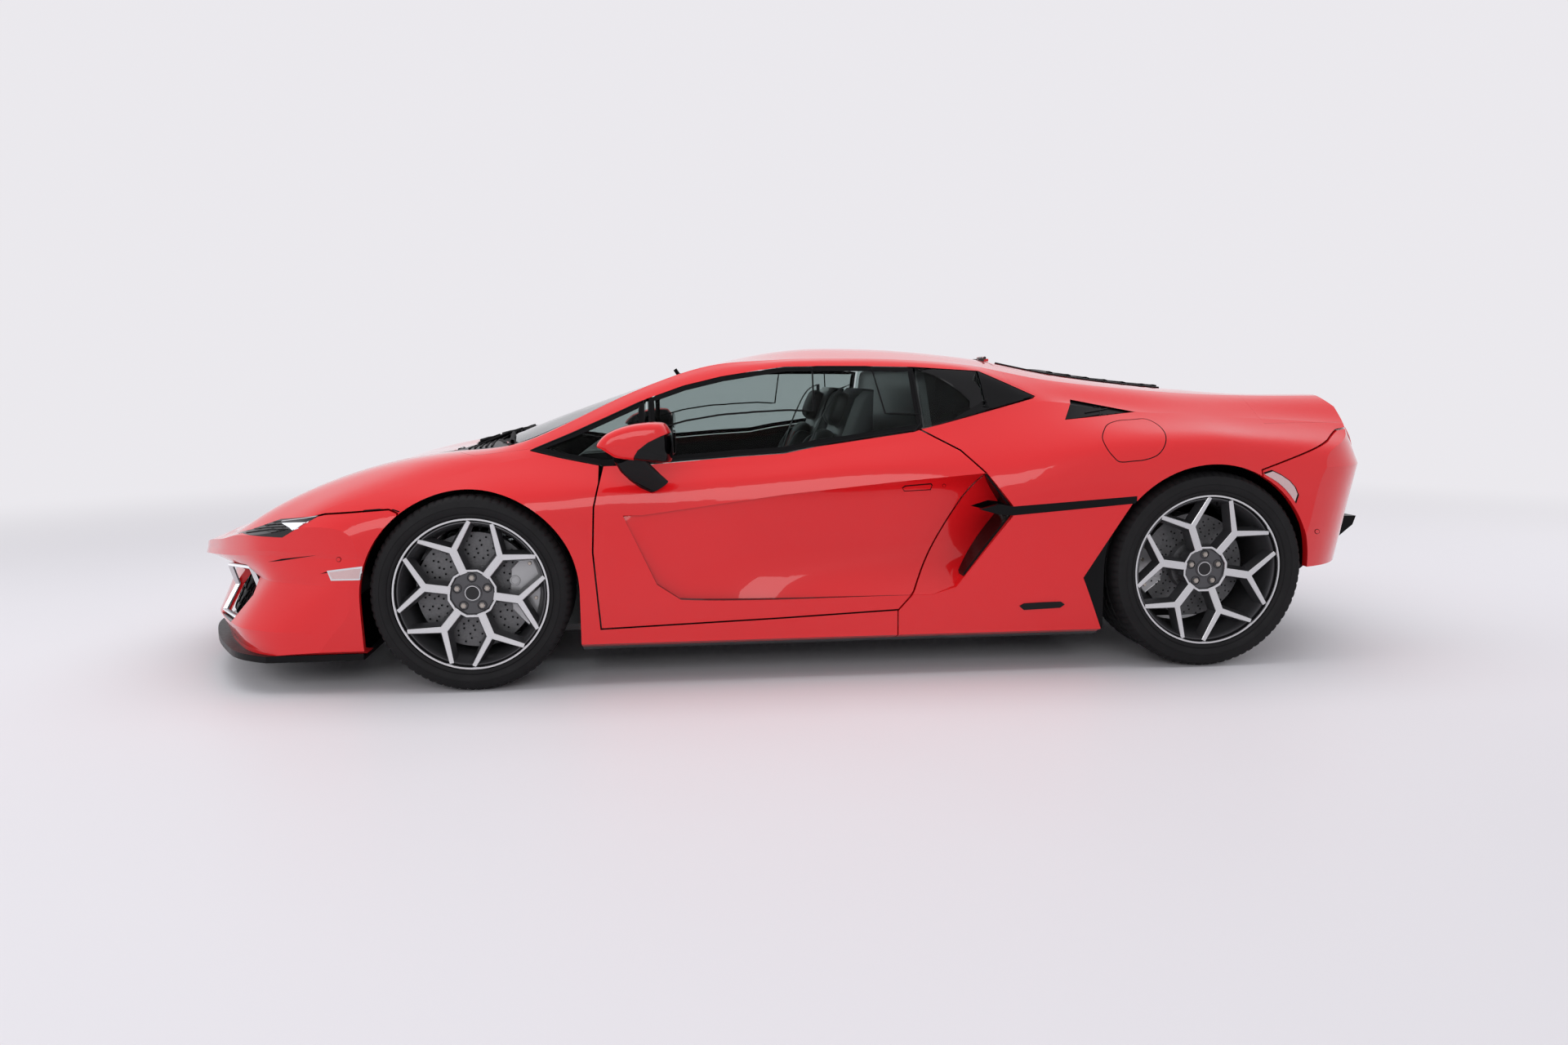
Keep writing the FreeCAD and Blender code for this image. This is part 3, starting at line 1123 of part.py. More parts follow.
def build_liners():
    front = make_liner(front_axle_x, FRONT_ARCH_HEIGHT, FRONT_ARCH_RADIUS + 2 * RUNNING_GAP, FRONT_WELL_DEPTH)
    rear = make_liner(rear_axle_x, REAR_ARCH_HEIGHT, REAR_ARCH_RADIUS + RUNNING_GAP / 2, REAR_WELL_DEPTH)
    inset = SKIN + LINER_RECESS
    room = body_loft(inset, inset, floor_top + SEAT_GAP)
    room = room.common(nose_envelope(inset)).common(tail_envelope(inset))
    liners = [biggest(front.common(room)), biggest(rear.common(room).cut(flap_room))]
    save("arch_liners", Part.makeCompound(liners + [mirrored(liner) for liner in liners]))


# Inside the cabin

def build_cabin():
    seats = []
    for side in (-1, 1):
        seats.append(profile_block(seat_shares, SEAT_WIDTH / 2, side * SEAT_SPREAD))
    save("seats", Part.makeCompound(seats))
    rails = []
    for side in (-1, 1):
        for way in (-1, 1):
            rail = profile_block(seat_rail_shares, TUB_WALL, side * SEAT_SPREAD + way * SEAT_WIDTH / 4)
            rails.append(rail.common(box_between(Vector(-far, -far, floor_top + SEAT_GAP), Vector(
                far, far, seat_shares[0][1] * HEIGHT - SEAT_GAP))))
    save("seat_rails", Part.makeCompound(rails))
    hub = Vector(station_x(steering_hub_share[0]), -SEAT_SPREAD, HEIGHT * steering_hub_share[1])
    lean = Vector(-1, 0, -column_slope_share).normalize()
    column = rod(hub, hub + lean * STEERING_COLUMN, COLUMN_RADIUS + SEAT_GAP)
    dashboard = profile_block(dashboard_shares, CABIN_HALF_WIDTH - SILL_WIDTH / 2 - SEAT_GAP)
    save("dashboard", biggest(dashboard.cut(column)))
    ring = Part.makeTorus(STEERING_WHEEL_RADIUS, STEERING_WHEEL_GRIP, hub, lean)
    pieces = [Part.makeCylinder(2 * COLUMN_RADIUS, 2 * STEERING_WHEEL_GRIP, hub, lean)]
    across = Vector(0, 1, 0)
    down = lean.cross(across)
    for way in (across, across * -1, down * (1 if down.z < 0 else -1)):
        pieces.append(rod(hub, hub + way * STEERING_WHEEL_RADIUS, STEERING_SPOKE_RADIUS))
    pieces.append(rod(hub, hub + lean * STEERING_COLUMN, COLUMN_RADIUS))
    save("steering_wheel", ring.multiFuse(pieces))


# Engine, exhaust, splitter, diffuser, spoiler and lamps

def build_tail():
    low = Vector(station_x(engine_station_share), -ENGINE_WIDTH / 2, floor_top)
    save("engine_block", box_between(low, low + Vector(ENGINE_LENGTH, ENGINE_WIDTH, ENGINE_HEIGHT)))
    points = []
    for breadth, share in zip(nose_breadth_shares[:-2], nose_levels["bottom"][:-2]):
        x = nose_x + share * FRONT_OVERHANG - SPLITTER_REACH
        points.append(Vector(x, breadth * half_width, FLOOR_HEIGHT))
    splitter = Part.Face(plan_wire(both_sides(points), front_axle_x - FRONT_ARCH_RADIUS - RUNNING_GAP))
    save("front_splitter", splitter.extrude(Vector(0, 0, SPLITTER)))
    depth = 2 * SKIN
    core = body_loft(depth, depth, floor_top + SEAT_GAP)
    band = nose_envelope(depth).cut(nose_envelope(depth + LINER))
    half = half_width * grille_half_share
    low = Vector(-far, -half, floor_top + SEAT_GAP)
    high = Vector(station_x(grille_station_share), half, HEIGHT * grille_top_share)
    band = band.common(box_between(low, high))
    save("front_grille", biggest(band.common(core)))
    band = tail_envelope(depth).cut(tail_envelope(depth + LINER))
    half = half_width * tail_grille_half_share
    bottom, top = [HEIGHT * height for height in tail_grille_height_share]
    low = Vector(station_x(tail_grille_station_share), -half, bottom)
    band = band.common(box_between(low, Vector(far, half, top)))
    band = band.cut(pair(end_prism(exhaust_shares, 0, False)))
    save("rear_grille", biggest(band.common(core)))
    back = tail_x - REAR_OVERHANG * exhaust_setback_share
    pipe = pair(end_prism(exhaust_shares, -SEAT_GAP, False)).common(
        box_between(Vector(back - EXHAUST_LENGTH, -far, 0), Vector(back, far, far)))
    bore = pair(end_prism(exhaust_shares, -LINER, False)).common(
        box_between(Vector(back - EXHAUST_LENGTH + LINER, -far, 0), Vector(far, far, far)))
    whole = pipe.Solids[0].fuse(pipe.Solids[1])
    save("exhaust", biggest(whole.cut(bore)))
    diffuser = profile_block(diffuser_shares, half_width - REAR_WELL_DEPTH - SEAT_GAP)
    diffuser = diffuser.common(box_between(Vector(0, -far, floor_top + SEAT_GAP), Vector(far, far, far)))
    fins = []
    for fin in range(FINS):
        y = half_width * fins_half_share * (2 * fin + 1 - FINS) / FINS
        fins.append(box_between(Vector(station_x(fins_station_share), y - FIN_GAP / 2, 0),
                                Vector(far, y + FIN_GAP / 2, HEIGHT * fin_top_share)))
    channel = side_face(diffuser_channel_shares)
    channel.translate(Vector(0, -far, 0))
    channel = channel.extrude(Vector(0, 2 * far, 0))
    save("rear_diffuser", biggest(diffuser.cut([fin.common(channel) for fin in fins])))


build_underbody()
build_wheels()
build_suspension()
build_liners()
build_cabin()
build_tail()
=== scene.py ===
import json
import math

import bmesh
import bpy
from mathutils import Matrix, Vector
from mathutils.bvhtree import BVHTree


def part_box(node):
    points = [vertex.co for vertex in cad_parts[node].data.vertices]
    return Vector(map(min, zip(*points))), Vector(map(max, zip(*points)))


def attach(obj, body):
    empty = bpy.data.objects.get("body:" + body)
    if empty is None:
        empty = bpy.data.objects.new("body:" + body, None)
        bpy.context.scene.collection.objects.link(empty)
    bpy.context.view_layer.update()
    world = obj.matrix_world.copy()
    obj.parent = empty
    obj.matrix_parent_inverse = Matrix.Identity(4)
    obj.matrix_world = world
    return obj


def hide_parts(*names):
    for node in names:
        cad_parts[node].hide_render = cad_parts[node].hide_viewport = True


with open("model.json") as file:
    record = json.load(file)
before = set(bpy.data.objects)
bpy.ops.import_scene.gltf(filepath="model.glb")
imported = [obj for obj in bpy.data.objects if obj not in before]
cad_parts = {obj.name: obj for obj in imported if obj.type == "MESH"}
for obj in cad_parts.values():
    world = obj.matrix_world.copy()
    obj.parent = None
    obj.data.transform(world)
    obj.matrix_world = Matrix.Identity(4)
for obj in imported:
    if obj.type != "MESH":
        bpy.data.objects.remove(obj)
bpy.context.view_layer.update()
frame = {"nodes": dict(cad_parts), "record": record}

nodes = frame["nodes"]

# Measures of the whole car, in metres
WHEELBASE = 2.658
FRONT_OVERHANG = 1.216
REAR_OVERHANG = .832
HALF_WIDTH = .998
HEIGHT = 1.201
FRONT_AXLE = -1.137
REAR_AXLE = 1.521
FRONT_HUB = .34325
REAR_HUB = .3642
REAR_CALIPER_WIDTH = .079


def station(share):
    """A place along the car: -1 nose, 0 front axle, 1 rear axle, 2 tail."""
    if share < 0:
        return FRONT_AXLE + share * FRONT_OVERHANG
    if share < 1:
        return FRONT_AXLE + share * WHEELBASE
    return REAR_AXLE + (share - 1) * REAR_OVERHANG


# Materials

class Finish:
    """A node material around one Principled shader."""

    def __init__(self, name, colour, roughness, metallic=0.0, **sockets):
        self.material = bpy.data.materials.new(name)
        self.material.use_nodes = True
        self.tree = self.material.node_tree
        self.shader = self.tree.nodes["Principled BSDF"]
        self.shader.inputs["Base Color"].default_value = (*colour, 1)
        self.shader.inputs["Roughness"].default_value = roughness
        self.shader.inputs["Metallic"].default_value = metallic
        for socket, value in sockets.items():
            self.shader.inputs[socket.replace("_", " ")].default_value = value
        self.colour = colour
        self.roughness = roughness
        self.coordinates = self.node("ShaderNodeTexCoord").outputs["Object"]
        self.height = None

    def node(self, kind, **settings):
        made = self.tree.nodes.new(kind)
        for key, value in settings.items():
            setattr(made, key, value)
        return made

    def link(self, source, target):
        self.tree.links.new(source, target)

    def calc(self, operation, *values, kind="ShaderNodeMath", output="Value", **settings):
        """The result of a math node whose inputs are sockets or plain values."""
        made = self.node(kind, operation=operation, **settings)
        for socket, value in zip(made.inputs, values):
            if isinstance(value, bpy.types.NodeSocket):
                self.link(value, socket)
            else:
                socket.default_value = value
        return made.outputs[output]

    def ranged(self, value, low, high):
        ramp = self.node("ShaderNodeMapRange")
        ramp.inputs["To Min"].default_value = low
        ramp.inputs["To Max"].default_value = high
        self.link(value, ramp.inputs["Value"])
        return ramp.outputs["Result"]

    def tinted(self, colour, strength):
        mixed = self.node("ShaderNodeVectorMath", operation="SCALE")
        mixed.inputs[0].default_value = colour
        self.link(strength, mixed.inputs["Scale"])
        self.link(mixed.outputs["Vector"], self.shader.inputs["Base Color"])
        return self

    def noise(self, scale, detail=3.0, stretch=None):
        texture = self.node("ShaderNodeTexNoise")
        texture.inputs["Scale"].default_value = scale
        texture.inputs["Detail"].default_value = detail
        source = self.coordinates
        if stretch:
            mapping = self.node("ShaderNodeMapping")
            mapping.inputs["Scale"].default_value = stretch
            self.link(source, mapping.inputs["Vector"])
            source = mapping.outputs["Vector"]
        self.link(source, texture.inputs["Vector"])
        return texture.outputs["Fac"]

    def vary_colour(self, scale, amount, detail=3.0, stretch=None):
        return self.tinted(self.colour, self.ranged(self.noise(scale, detail, stretch), 1 - amount, 1 + amount))

    def vary_roughness(self, scale, amount, detail=3.0, stretch=None):
        low, high = max(.01, self.roughness - amount), min(1, self.roughness + amount)
        self.link(self.ranged(self.noise(scale, detail, stretch), low, high), self.shader.inputs["Roughness"])
        return self

    def bump(self, source, strength, distance):
        made = self.node("ShaderNodeBump")
        made.inputs["Strength"].default_value = strength
        made.inputs["Distance"].default_value = distance
        self.link(source, made.inputs["Height"])
        if self.height is not None:
            self.link(self.height, made.inputs["Normal"])
        self.height = made.outputs["Normal"]
        self.link(self.height, self.shader.inputs["Normal"])
        return self

    def grain(self, scale, strength, distance, detail=4.0, stretch=None):
        return self.bump(self.noise(scale, detail, stretch), strength, distance)


def weave(name, colour, scale):
    """A twill of carbon fibre under a clear coat."""
    made = Finish(name, colour, .38, .2, Coat_Weight=.35, Coat_Roughness=.15)
    wave = made.node("ShaderNodeTexWave", wave_type="BANDS", bands_direction="DIAGONAL")
    checker = made.node("ShaderNodeTexChecker")
    for texture, size in ((wave, scale), (checker, scale * 2)):
        texture.inputs["Scale"].default_value = size
        made.link(made.coordinates, texture.inputs["Vector"])
    threads = made.calc("MULTIPLY", wave.outputs["Fac"], checker.outputs["Fac"])
    return made.tinted(colour, made.ranged(threads, .5, 1.9)).bump(threads, .15, .0004)


BODY_RED = (.74, .008, .012)
# Dark rough colour for faces that look inwards: partly a real liner, partly painted shade.
LINING_AND_SHADE = (.014, .014, .015, 1)
LINING_AND_SHADE_ROUGHNESS = .75
MIDDLE_HEIGHT = .5
ENGINE_BAY_HALF = .56
HINGE_REACH = .0085


def paint_with_lining_and_shade(name, limit=-.22, reach=0.0, hinge=None):
    """Clear-coated paint outside, and dark rough black where a face looks inwards: partly a real dark liner, partly
    painted shade on inner faces and in the shut lines.

    A face looks inwards when its normal, times its place off the car's middle line, is below the limit. Within the
    reach of the middle plane, walls across the car are dark too, as liner and painted shade. A hinge's knuckles are
    black round its axis (x, z).
    """
    made = Finish(name, BODY_RED, .3, Coat_Weight=1.0, Coat_Roughness=.03, Coat_IOR=1.45, Specular_IOR_Level=.12)
    made.vary_colour(1.5, .03)
    vector = {"kind": "ShaderNodeVectorMath"}
    place, leaning = made.node("ShaderNodeSeparateXYZ"), made.node("ShaderNodeSeparateXYZ")
    normal = made.node("ShaderNodeTexCoord").outputs["Normal"]
    made.link(made.coordinates, place.inputs[0])
    made.link(normal, leaning.inputs[0])
    from_middle = made.node("ShaderNodeCombineXYZ")
    made.link(place.outputs["Y"], from_middle.inputs["Y"])
    made.link(made.calc("SUBTRACT", place.outputs["Z"], MIDDLE_HEIGHT), from_middle.inputs["Z"])
    # Faces that look inwards turn dark below: partly a real liner, partly painted shade in the hollows.
    inside = made.calc("LESS_THAN", made.calc("DOT_PRODUCT", normal, from_middle.outputs["Vector"], **vector), limit)
    if reach:
        off_middle = made.calc("ABSOLUTE", place.outputs["Y"])
        cross_wall = made.calc("GREATER_THAN", made.calc("ABSOLUTE", leaning.outputs["X"]), .8)
        long_wall = made.calc("GREATER_THAN", made.calc("ABSOLUTE", leaning.outputs["Y"]), .93)
        inside = made.calc("MULTIPLY_ADD", long_wall, made.calc("LESS_THAN", off_middle, ENGINE_BAY_HALF), inside)
        # Walls across the car within the reach turn dark: painted shade in the shut lines, and a real dark liner
        # inside.
        wall_lining_and_shade = made.calc("MULTIPLY", cross_wall, made.calc("LESS_THAN", off_middle, reach))
        inside = made.calc("MAXIMUM", inside, wall_lining_and_shade, use_clamp=True)
    if hinge:
        off_axis = made.calc("SUBTRACT", made.coordinates, (hinge[0], 0, hinge[1]), output="Vector", **vector)
        off_axis = made.calc("MULTIPLY", off_axis, (1, 0, 1), output="Vector", **vector)
        knuckle = made.calc("LESS_THAN", made.calc("LENGTH", off_axis, **vector), HINGE_REACH)
        inside = made.calc("MAXIMUM", inside, knuckle)
    # Mixes the dark rough colour into the paint where marked: painted shade, partly a real liner.
    lining_and_shade_mix = made.node("ShaderNodeMix", data_type="RGBA")
    made.link(inside, lining_and_shade_mix.inputs["Factor"])
    made.link(made.shader.inputs["Base Color"].links[0].from_socket, lining_and_shade_mix.inputs[6])
    lining_and_shade_mix.inputs[7].default_value = LINING_AND_SHADE
    made.link(lining_and_shade_mix.outputs[2], made.shader.inputs["Base Color"])
    made.link(made.ranged(inside, made.roughness, LINING_AND_SHADE_ROUGHNESS), made.shader.inputs["Roughness"])
    return made


# Inward faces of the panels turn dark: painted shade, partly a real liner.
paint = paint_with_lining_and_shade("body_red")
# Round the cabin, the edge walls of the doors and roof turn dark as painted shade in the shut lines.
cabin_paint = paint_with_lining_and_shade("body_red_round_the_cabin", limit=-.05, reach=2.0)
# On the flank, walls across the car within .76 of the middle turn dark as painted shade and liner inside the body; the
# side scoop stays red.
flank_paint = paint_with_lining_and_shade("body_red_on_the_flank", reach=.76)
glass = Finish("tinted_glass", (.5, .56, .55), .015, Transmission_Weight=1.0, IOR=1.12, Specular_IOR_Level=.5)
glass.grain(2.5, .004, .002, 1)
trim = Finish("satin_black", (.0035, .0035, .004), .34, Specular_IOR_Level=.12)
trim.vary_roughness(60, .08).grain(700, .04, .0003)
gloss = Finish("gloss_black", (.002, .002, .0025), .12, Specular_IOR_Level=.12, Coat_Weight=.22, Coat_Roughness=.03)
gloss.vary_roughness(30, .03)
# This black serves real black parts, and also painted shade in the wheel's groove and bolt pockets, the disc's holes
# and the nose's creases.
matt_black_and_shade = Finish("moulded_black_and_painted_shade", (.004, .004, .0045), .6, Specular_IOR_Level=.07)
matt_black_and_shade.vary_roughness(25, .12).grain(420, .18, .0006)
machined = Finish("machined_alloy", (.62, .62, .63), .24, .85, Coat_Weight=.5, Coat_Roughness=.08)
machined.vary_roughness(90, .06).grain(900, .03, .0002, 2, (1, .1, 1))
silver = Finish("bright_metal", (.72, .72, .74), .22, .9)
silver.vary_roughness(60, .05)
light_white = Finish("light_guide", (.8, .82, .85), .25, Coat_Weight=.6, Emission_Strength=.35)
light_white.shader.inputs["Emission Color"].default_value = (.9, .95, 1, 1)
light_white.vary_colour(300, .06)
pale_lens = Finish("pale_lens", (.62, .42, .42), .18, Coat_Weight=1.0, Coat_Roughness=.03)
pale_lens.vary_colour(220, .12, 2, (3, 1, 1)).grain(380, .2, .0006, 2, (3, 1, 1))
red_lens = Finish("red_lens", (.5, .008, .012), .15, Coat_Weight=1.0, Coat_Roughness=.02)
red_lens.vary_colour(160, .15, 2).grain(300, .12, .0006)
red_glow = Finish("red_light_guide", (.8, .015, .02), .2, Coat_Weight=.8, Emission_Strength=.25)
red_glow.shader.inputs["Emission Color"].default_value = (1, .03, .03, 1)
red_glow.vary_colour(200, .08)
mirror_glass = Finish("mirror_glass", (.78, .8, .82), .02, 1.0)
mirror_glass.vary_roughness(10, .01)
webbing = Finish("belt_webbing", (.02, .02, .022), .7, Sheen_Weight=.3)
webbing.grain(900, .5, .0006, 2, (1, 1, 4))
screen = Finish("dark_screen", (.006, .007, .009), .06, Coat_Weight=1.0, Coat_Roughness=.01)
screen.vary_roughness(40, .02)
stitch = Finish("red_stitching", (.45, .02, .02), .6)
stitch.grain(1500, .4, .0004)
plate_white = Finish("blank_plate", (.7, .7, .7), .45)
plate_white.vary_colour(60, .04).grain(300, .05, .0004)
suede = Finish("dark_suede", (.028, .027, .028), .85, Sheen_Weight=.4)
suede.vary_colour(220, .25, 5).grain(900, .35, .0006)
carbon = weave("woven_carbon", (.026, .026, .028), 160)
lamp_black = Finish("lamp_housing", (.004, .004, .005), .12, Specular_IOR_Level=.2, Coat_Weight=.5, Coat_Roughness=.02)
lamp_black.vary_roughness(30, .04)
lamp_red = Finish("lamp_red", (.32, .008, .01), .14, Coat_Weight=1.0, Coat_Roughness=.02)
lamp_red.vary_colour(80, .12).grain(260, .06, .0006)
steel = Finish("heat_tinted_steel", (.42, .38, .34), .3, 1.0)
steel.vary_colour(9, .2).vary_roughness(14, .12, 3, (1, 12, 1))
cast = Finish("cast_metal", (.11, .11, .115), .58, .7)
cast.vary_colour(6, .2).grain(240, .35, .0012)
leather = Finish("grained_leather", (.022, .021, .021), .48, Sheen_Weight=.15)
leather.vary_roughness(40, .08)
forged = Finish("forged_metal", (.24, .24, .25), .42, .9)
forged.vary_colour(12, .18).vary_roughness(30, .12).grain(300, .12, .0006)
caliper = Finish("caliper_silver", (.44, .44, .45), .34, .35, Coat_Weight=.6, Coat_Roughness=.1)
caliper.vary_colour(20, .06).grain(500, .06, .0004)
rubber = Finish("tyre_rubber", (.0095, .0093, .01), .64, Specular_IOR_Level=.18)
rubber.vary_colour(16, .25).vary_roughness(22, .1).grain(320, .28, .0008)
alloy = Finish("wheel_grey", (.075, .075, .08), .38, .6, Coat_Weight=.3, Coat_Roughness=.12)
alloy.vary_roughness(40, .06).grain(500, .04, .0003)
ceramic = Finish("ceramic_disc", (.15, .15, .155), .46, .5)
ceramic.vary_colour(120, .35, 5).grain(600, .2, .0006)

by_slot = {
    "body_paint": paint, "tinted_glass": glass, "black_trim": trim, "carbon_tub": carbon,
    "headlamp": lamp_black, "tail_lamp": lamp_red, "exhaust_metal": steel, "engine_metal": cast,
    "seat_leather": leather, "steering_leather": leather, "forged_metal": forged,
    "caliper_paint": caliper, "tyre": rubber, "alloy": alloy, "brake_disc": ceramic}
by_node = {
    "roof": cabin_paint, "door_left": cabin_paint, "door_right": cabin_paint, "rear_quarters": flank_paint,
    "hood": paint_with_lining_and_shade("body_red_of_the_hood", hinge=(-1.2835, .804)),
    "engine_cover": paint_with_lining_and_shade("body_red_of_the_cover", hinge=(.8595, 1.156))}
for part in frame["record"]["subparts"]:
    if part["node"] not in nodes:
        continue
    solid = nodes[part["node"]]
    solid.data.materials.clear()
    chosen = by_node.get(part["node"], by_slot[part["material_slot"]])
    solid.data.materials.append(chosen.material)

# Tools for the pieces

def turns(count):
    return [2 * math.pi * i / count for i in range(count)]


def bent(value, power):
    """A sine or cosine drawn towards the corners of a square."""
    return math.copysign(abs(value) ** power, value)


def rounded(count, wide, tall, power):
    """The points of a rectangle with round corners and bowed sides."""
    return [(bent(math.cos(turn), power) * wide, bent(math.sin(turn), power) * tall) for turn in turns(count)]


def smoothly(points, steps, closed=False):
    """Points along a smooth line through the given ones, steps to each span."""
    made = []
    count = len(points)
    spans = count if closed else count - 1
    for i in range(spans):
        a, b, c, d = [Vector(points[(i + k) % count] if closed else points[max(0, min(count - 1, i + k))])
                      for k in (-1, 0, 1, 2)]
        for step in range(steps):
            t = step / steps
            made.append(.5 * (2 * b + (c - a) * t + (2 * a - 5 * b + 4 * c - d) * t * t
                              + (3 * b - a - 3 * c + d) * t ** 3))
    if not closed:
        made.append(Vector(points[-1]))
    return made


def evenly(points, gap, closed=False):
    """Points along straight runs, corners kept and no run longer than the gap."""
    made = []
    count = len(points)
    for i in range(count if closed else count - 1):
        a, b = Vector(points[i]), Vector(points[(i + 1) % count])
        steps = max(1, math.ceil((b - a).length / gap))
        made += [a.lerp(b, step / steps) for step in range(steps)]
    if not closed:
        made.append(Vector(points[-1]))
    return made


def straight(start, end, spans):
    start, end = Vector(start), Vector(end)
    return [start.lerp(end, i / spans) for i in range(spans + 1)]


def divided(corners, steps):
    """The closed outline with each of its sides cut into as many steps."""
    return [a.lerp(b, step / steps) for a, b in zip(corners, corners[1:] + corners[:1]) for step in range(steps)]


def inward(outline, size):
    """The closed outline moved in by a size, corner by corner."""
    area = sum(outline[i - 1][0] * outline[i][1] - outline[i][0] * outline[i - 1][1] for i in range(len(outline)))
    way = 1 if area > 0 else -1
    made = []
    for i in range(len(outline)):
        a, b, c = Vector(outline[i - 1]), Vector(outline[i]), Vector(outline[(i + 1) % len(outline)])
        before, after = (b - a).normalized(), (c - b).normalized()
        n1, n2 = Vector((-before.y, before.x)) * way, Vector((-after.y, after.x)) * way
        made.append(b + (n1 + n2) * (size / max(.35, 1 + n1.dot(n2))))
    return made


class Piece:
    """The faces of one piece, each with its finish."""

    def __init__(self):
        self.points, self.faces, self.marks, self.finishes = [], [], [], []

    def add(self, points, faces, finish):
        if finish not in self.finishes:
            self.finishes.append(finish)
        first = len(self.points)
        self.points += [tuple(p) for p in points]
        self.faces += [[first + i for i in face] for face in faces]
        self.marks += [self.finishes.index(finish)] * len(faces)
        return self

    def rings(self, rings, finish, closed=True, ends=False, around=False):
        """Quads between rings of as many points each; a finish for each band may be listed."""
        count = len(rings[0])
        finishes = finish if isinstance(finish, list) else [finish] * len(rings)
        last = len(rings) if around else len(rings) - 1
        for band in range(last):
            a, b = rings[band], rings[(band + 1) % len(rings)]
            sides = count if closed else count - 1
            faces = [[i, (i + 1) % count, count + (i + 1) % count, count + i] for i in range(sides)]
            self.add(list(a) + list(b), faces, finishes[min(band, len(finishes) - 1)])
        if ends:
            self.add(rings[0], [list(range(count))[::-1]], finishes[0])
            self.add(rings[-1], [list(range(count))], finishes[-1])
        return self

    def lathe(self, profile, centre, finish, steps):
        """A profile of (radius, place along y) turned about a line along y."""
        rings = [[(centre[0] + radius * math.cos(turn), centre[1] + along, centre[2] + radius * math.sin(turn))
                  for turn in turns(steps)] for radius, along in profile]
        return self.rings(rings, finish)

    def tube(self, path, radius, finish, sides, closed=False):
        """A round bar along a path."""
        path = [Vector(p) for p in path]
        radii = radius if isinstance(radius, list) else [radius] * len(path)
        rings = []
        lead = Vector((0, 0, 1))
        for i, place in enumerate(path):
            after = path[(i + 1) % len(path)] if closed else path[min(i + 1, len(path) - 1)]
            before = path[i - 1] if closed or i else path[0]
            way = (after - before).normalized()
            if abs(way.dot(lead)) > .97:
                lead = Vector((1, 0, 0)) if abs(way.x) < .9 else Vector((0, 1, 0))
            side = way.cross(lead).normalized()
            lead = side.cross(way).normalized()
            rings.append([place + (side * math.cos(t) + lead * math.sin(t)) * radii[i] for t in turns(sides)])
        return self.rings(rings, finish, ends=not closed, around=closed)

    def mirrored(self):
        other = Piece()
        other.points = [(x, -y, z) for x, y, z in self.points]
        other.faces = [face[::-1] for face in self.faces]
        other.marks, other.finishes = list(self.marks), self.finishes
        return other

    def joined(self, other):
        for finish in other.finishes:
            faces = [face for face, mark in zip(other.faces, other.marks) if other.finishes[mark] is finish]
            used = sorted({i for face in faces for i in face})
            place = {old: new for new, old in enumerate(used)}
            self.add([other.points[i] for i in used], [[place[i] for i in face] for face in faces], finish)
        return self

    def make(self, name, body, soft=30, replace=(), recalc=True, weld=.00002):
        mesh = bpy.data.meshes.new(name)
        mesh.from_pydata(self.points, [], self.faces)
        for finish in self.finishes:
            mesh.materials.append(finish.material)
        for face, mark in zip(mesh.polygons, self.marks):
            face.material_index = mark
        shape = bmesh.new()
        shape.from_mesh(mesh)
        if weld:
            bmesh.ops.remove_doubles(shape, verts=shape.verts, dist=weld)
        if recalc:
            bmesh.ops.recalc_face_normals(shape, faces=shape.faces)
        shape.to_mesh(mesh)
        shape.free()
        mesh.shade_smooth()
        mesh.set_sharp_from_angle(angle=math.radians(soft))
        made = bpy.data.objects.new(name, mesh)
        bpy.context.scene.collection.objects.link(made)
        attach(made, body)
        if replace:
            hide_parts(*replace)
        return made


def skin_of(*names):
    """A tree of the surfaces of some solids, to lay pieces on."""
    points, faces = [], []
    for name in names:
        mesh = nodes[name].data
        first = len(points)
        points += [vertex.co.copy() for vertex in mesh.vertices]
        faces += [[first + i for i in face.vertices] for face in mesh.polygons]
    return BVHTree.FromPolygons(points, faces)


SIGHT_START = 4.0


class Lay:
    """Places on a surface, seen along one direction."""

    def __init__(self, tree, way):
        self.tree, self.way = tree, Vector(way)

    def meets(self, point):
        return self.tree.ray_cast(Vector(point) - self.way * SIGHT_START, self.way)[0] is not None

    def at(self, point, lift=0.0):
        point = Vector(point)
        hit, normal, index, distance = self.tree.ray_cast(point - self.way * SIGHT_START, self.way)
        if hit is None:
            hit, normal, index, distance = self.tree.find_nearest(point)
        if normal.dot(self.way) > 0:
            normal = -normal
        return hit + normal * lift, normal


def ribbon(piece, path, width, rise, finish, lay, sunk=.002, crown=.0, closed=False):
    """A raised strip that follows the surface under a path of points."""
    spots = [lay.at(p) for p in path]
    rings = []
    count = len(spots)
    for i, (spot, normal) in enumerate(spots):
        after = spots[(i + 1) % count][0] if closed else spots[min(i + 1, count - 1)][0]
        before = spots[i - 1][0] if closed or i else spots[0][0]
        along = after - before
        if along.length < 1e-7:
            continue
        side = normal.cross(along).normalized()
        left, right = spot + side * width / 2, spot - side * width / 2
        rings.append([left - normal * sunk, left + normal * rise, spot + normal * (rise + crown),
                      right + normal * rise, right - normal * sunk])
    if len(rings) < 2:
        return piece
    return piece.rings(rings, finish, closed=False, around=closed)


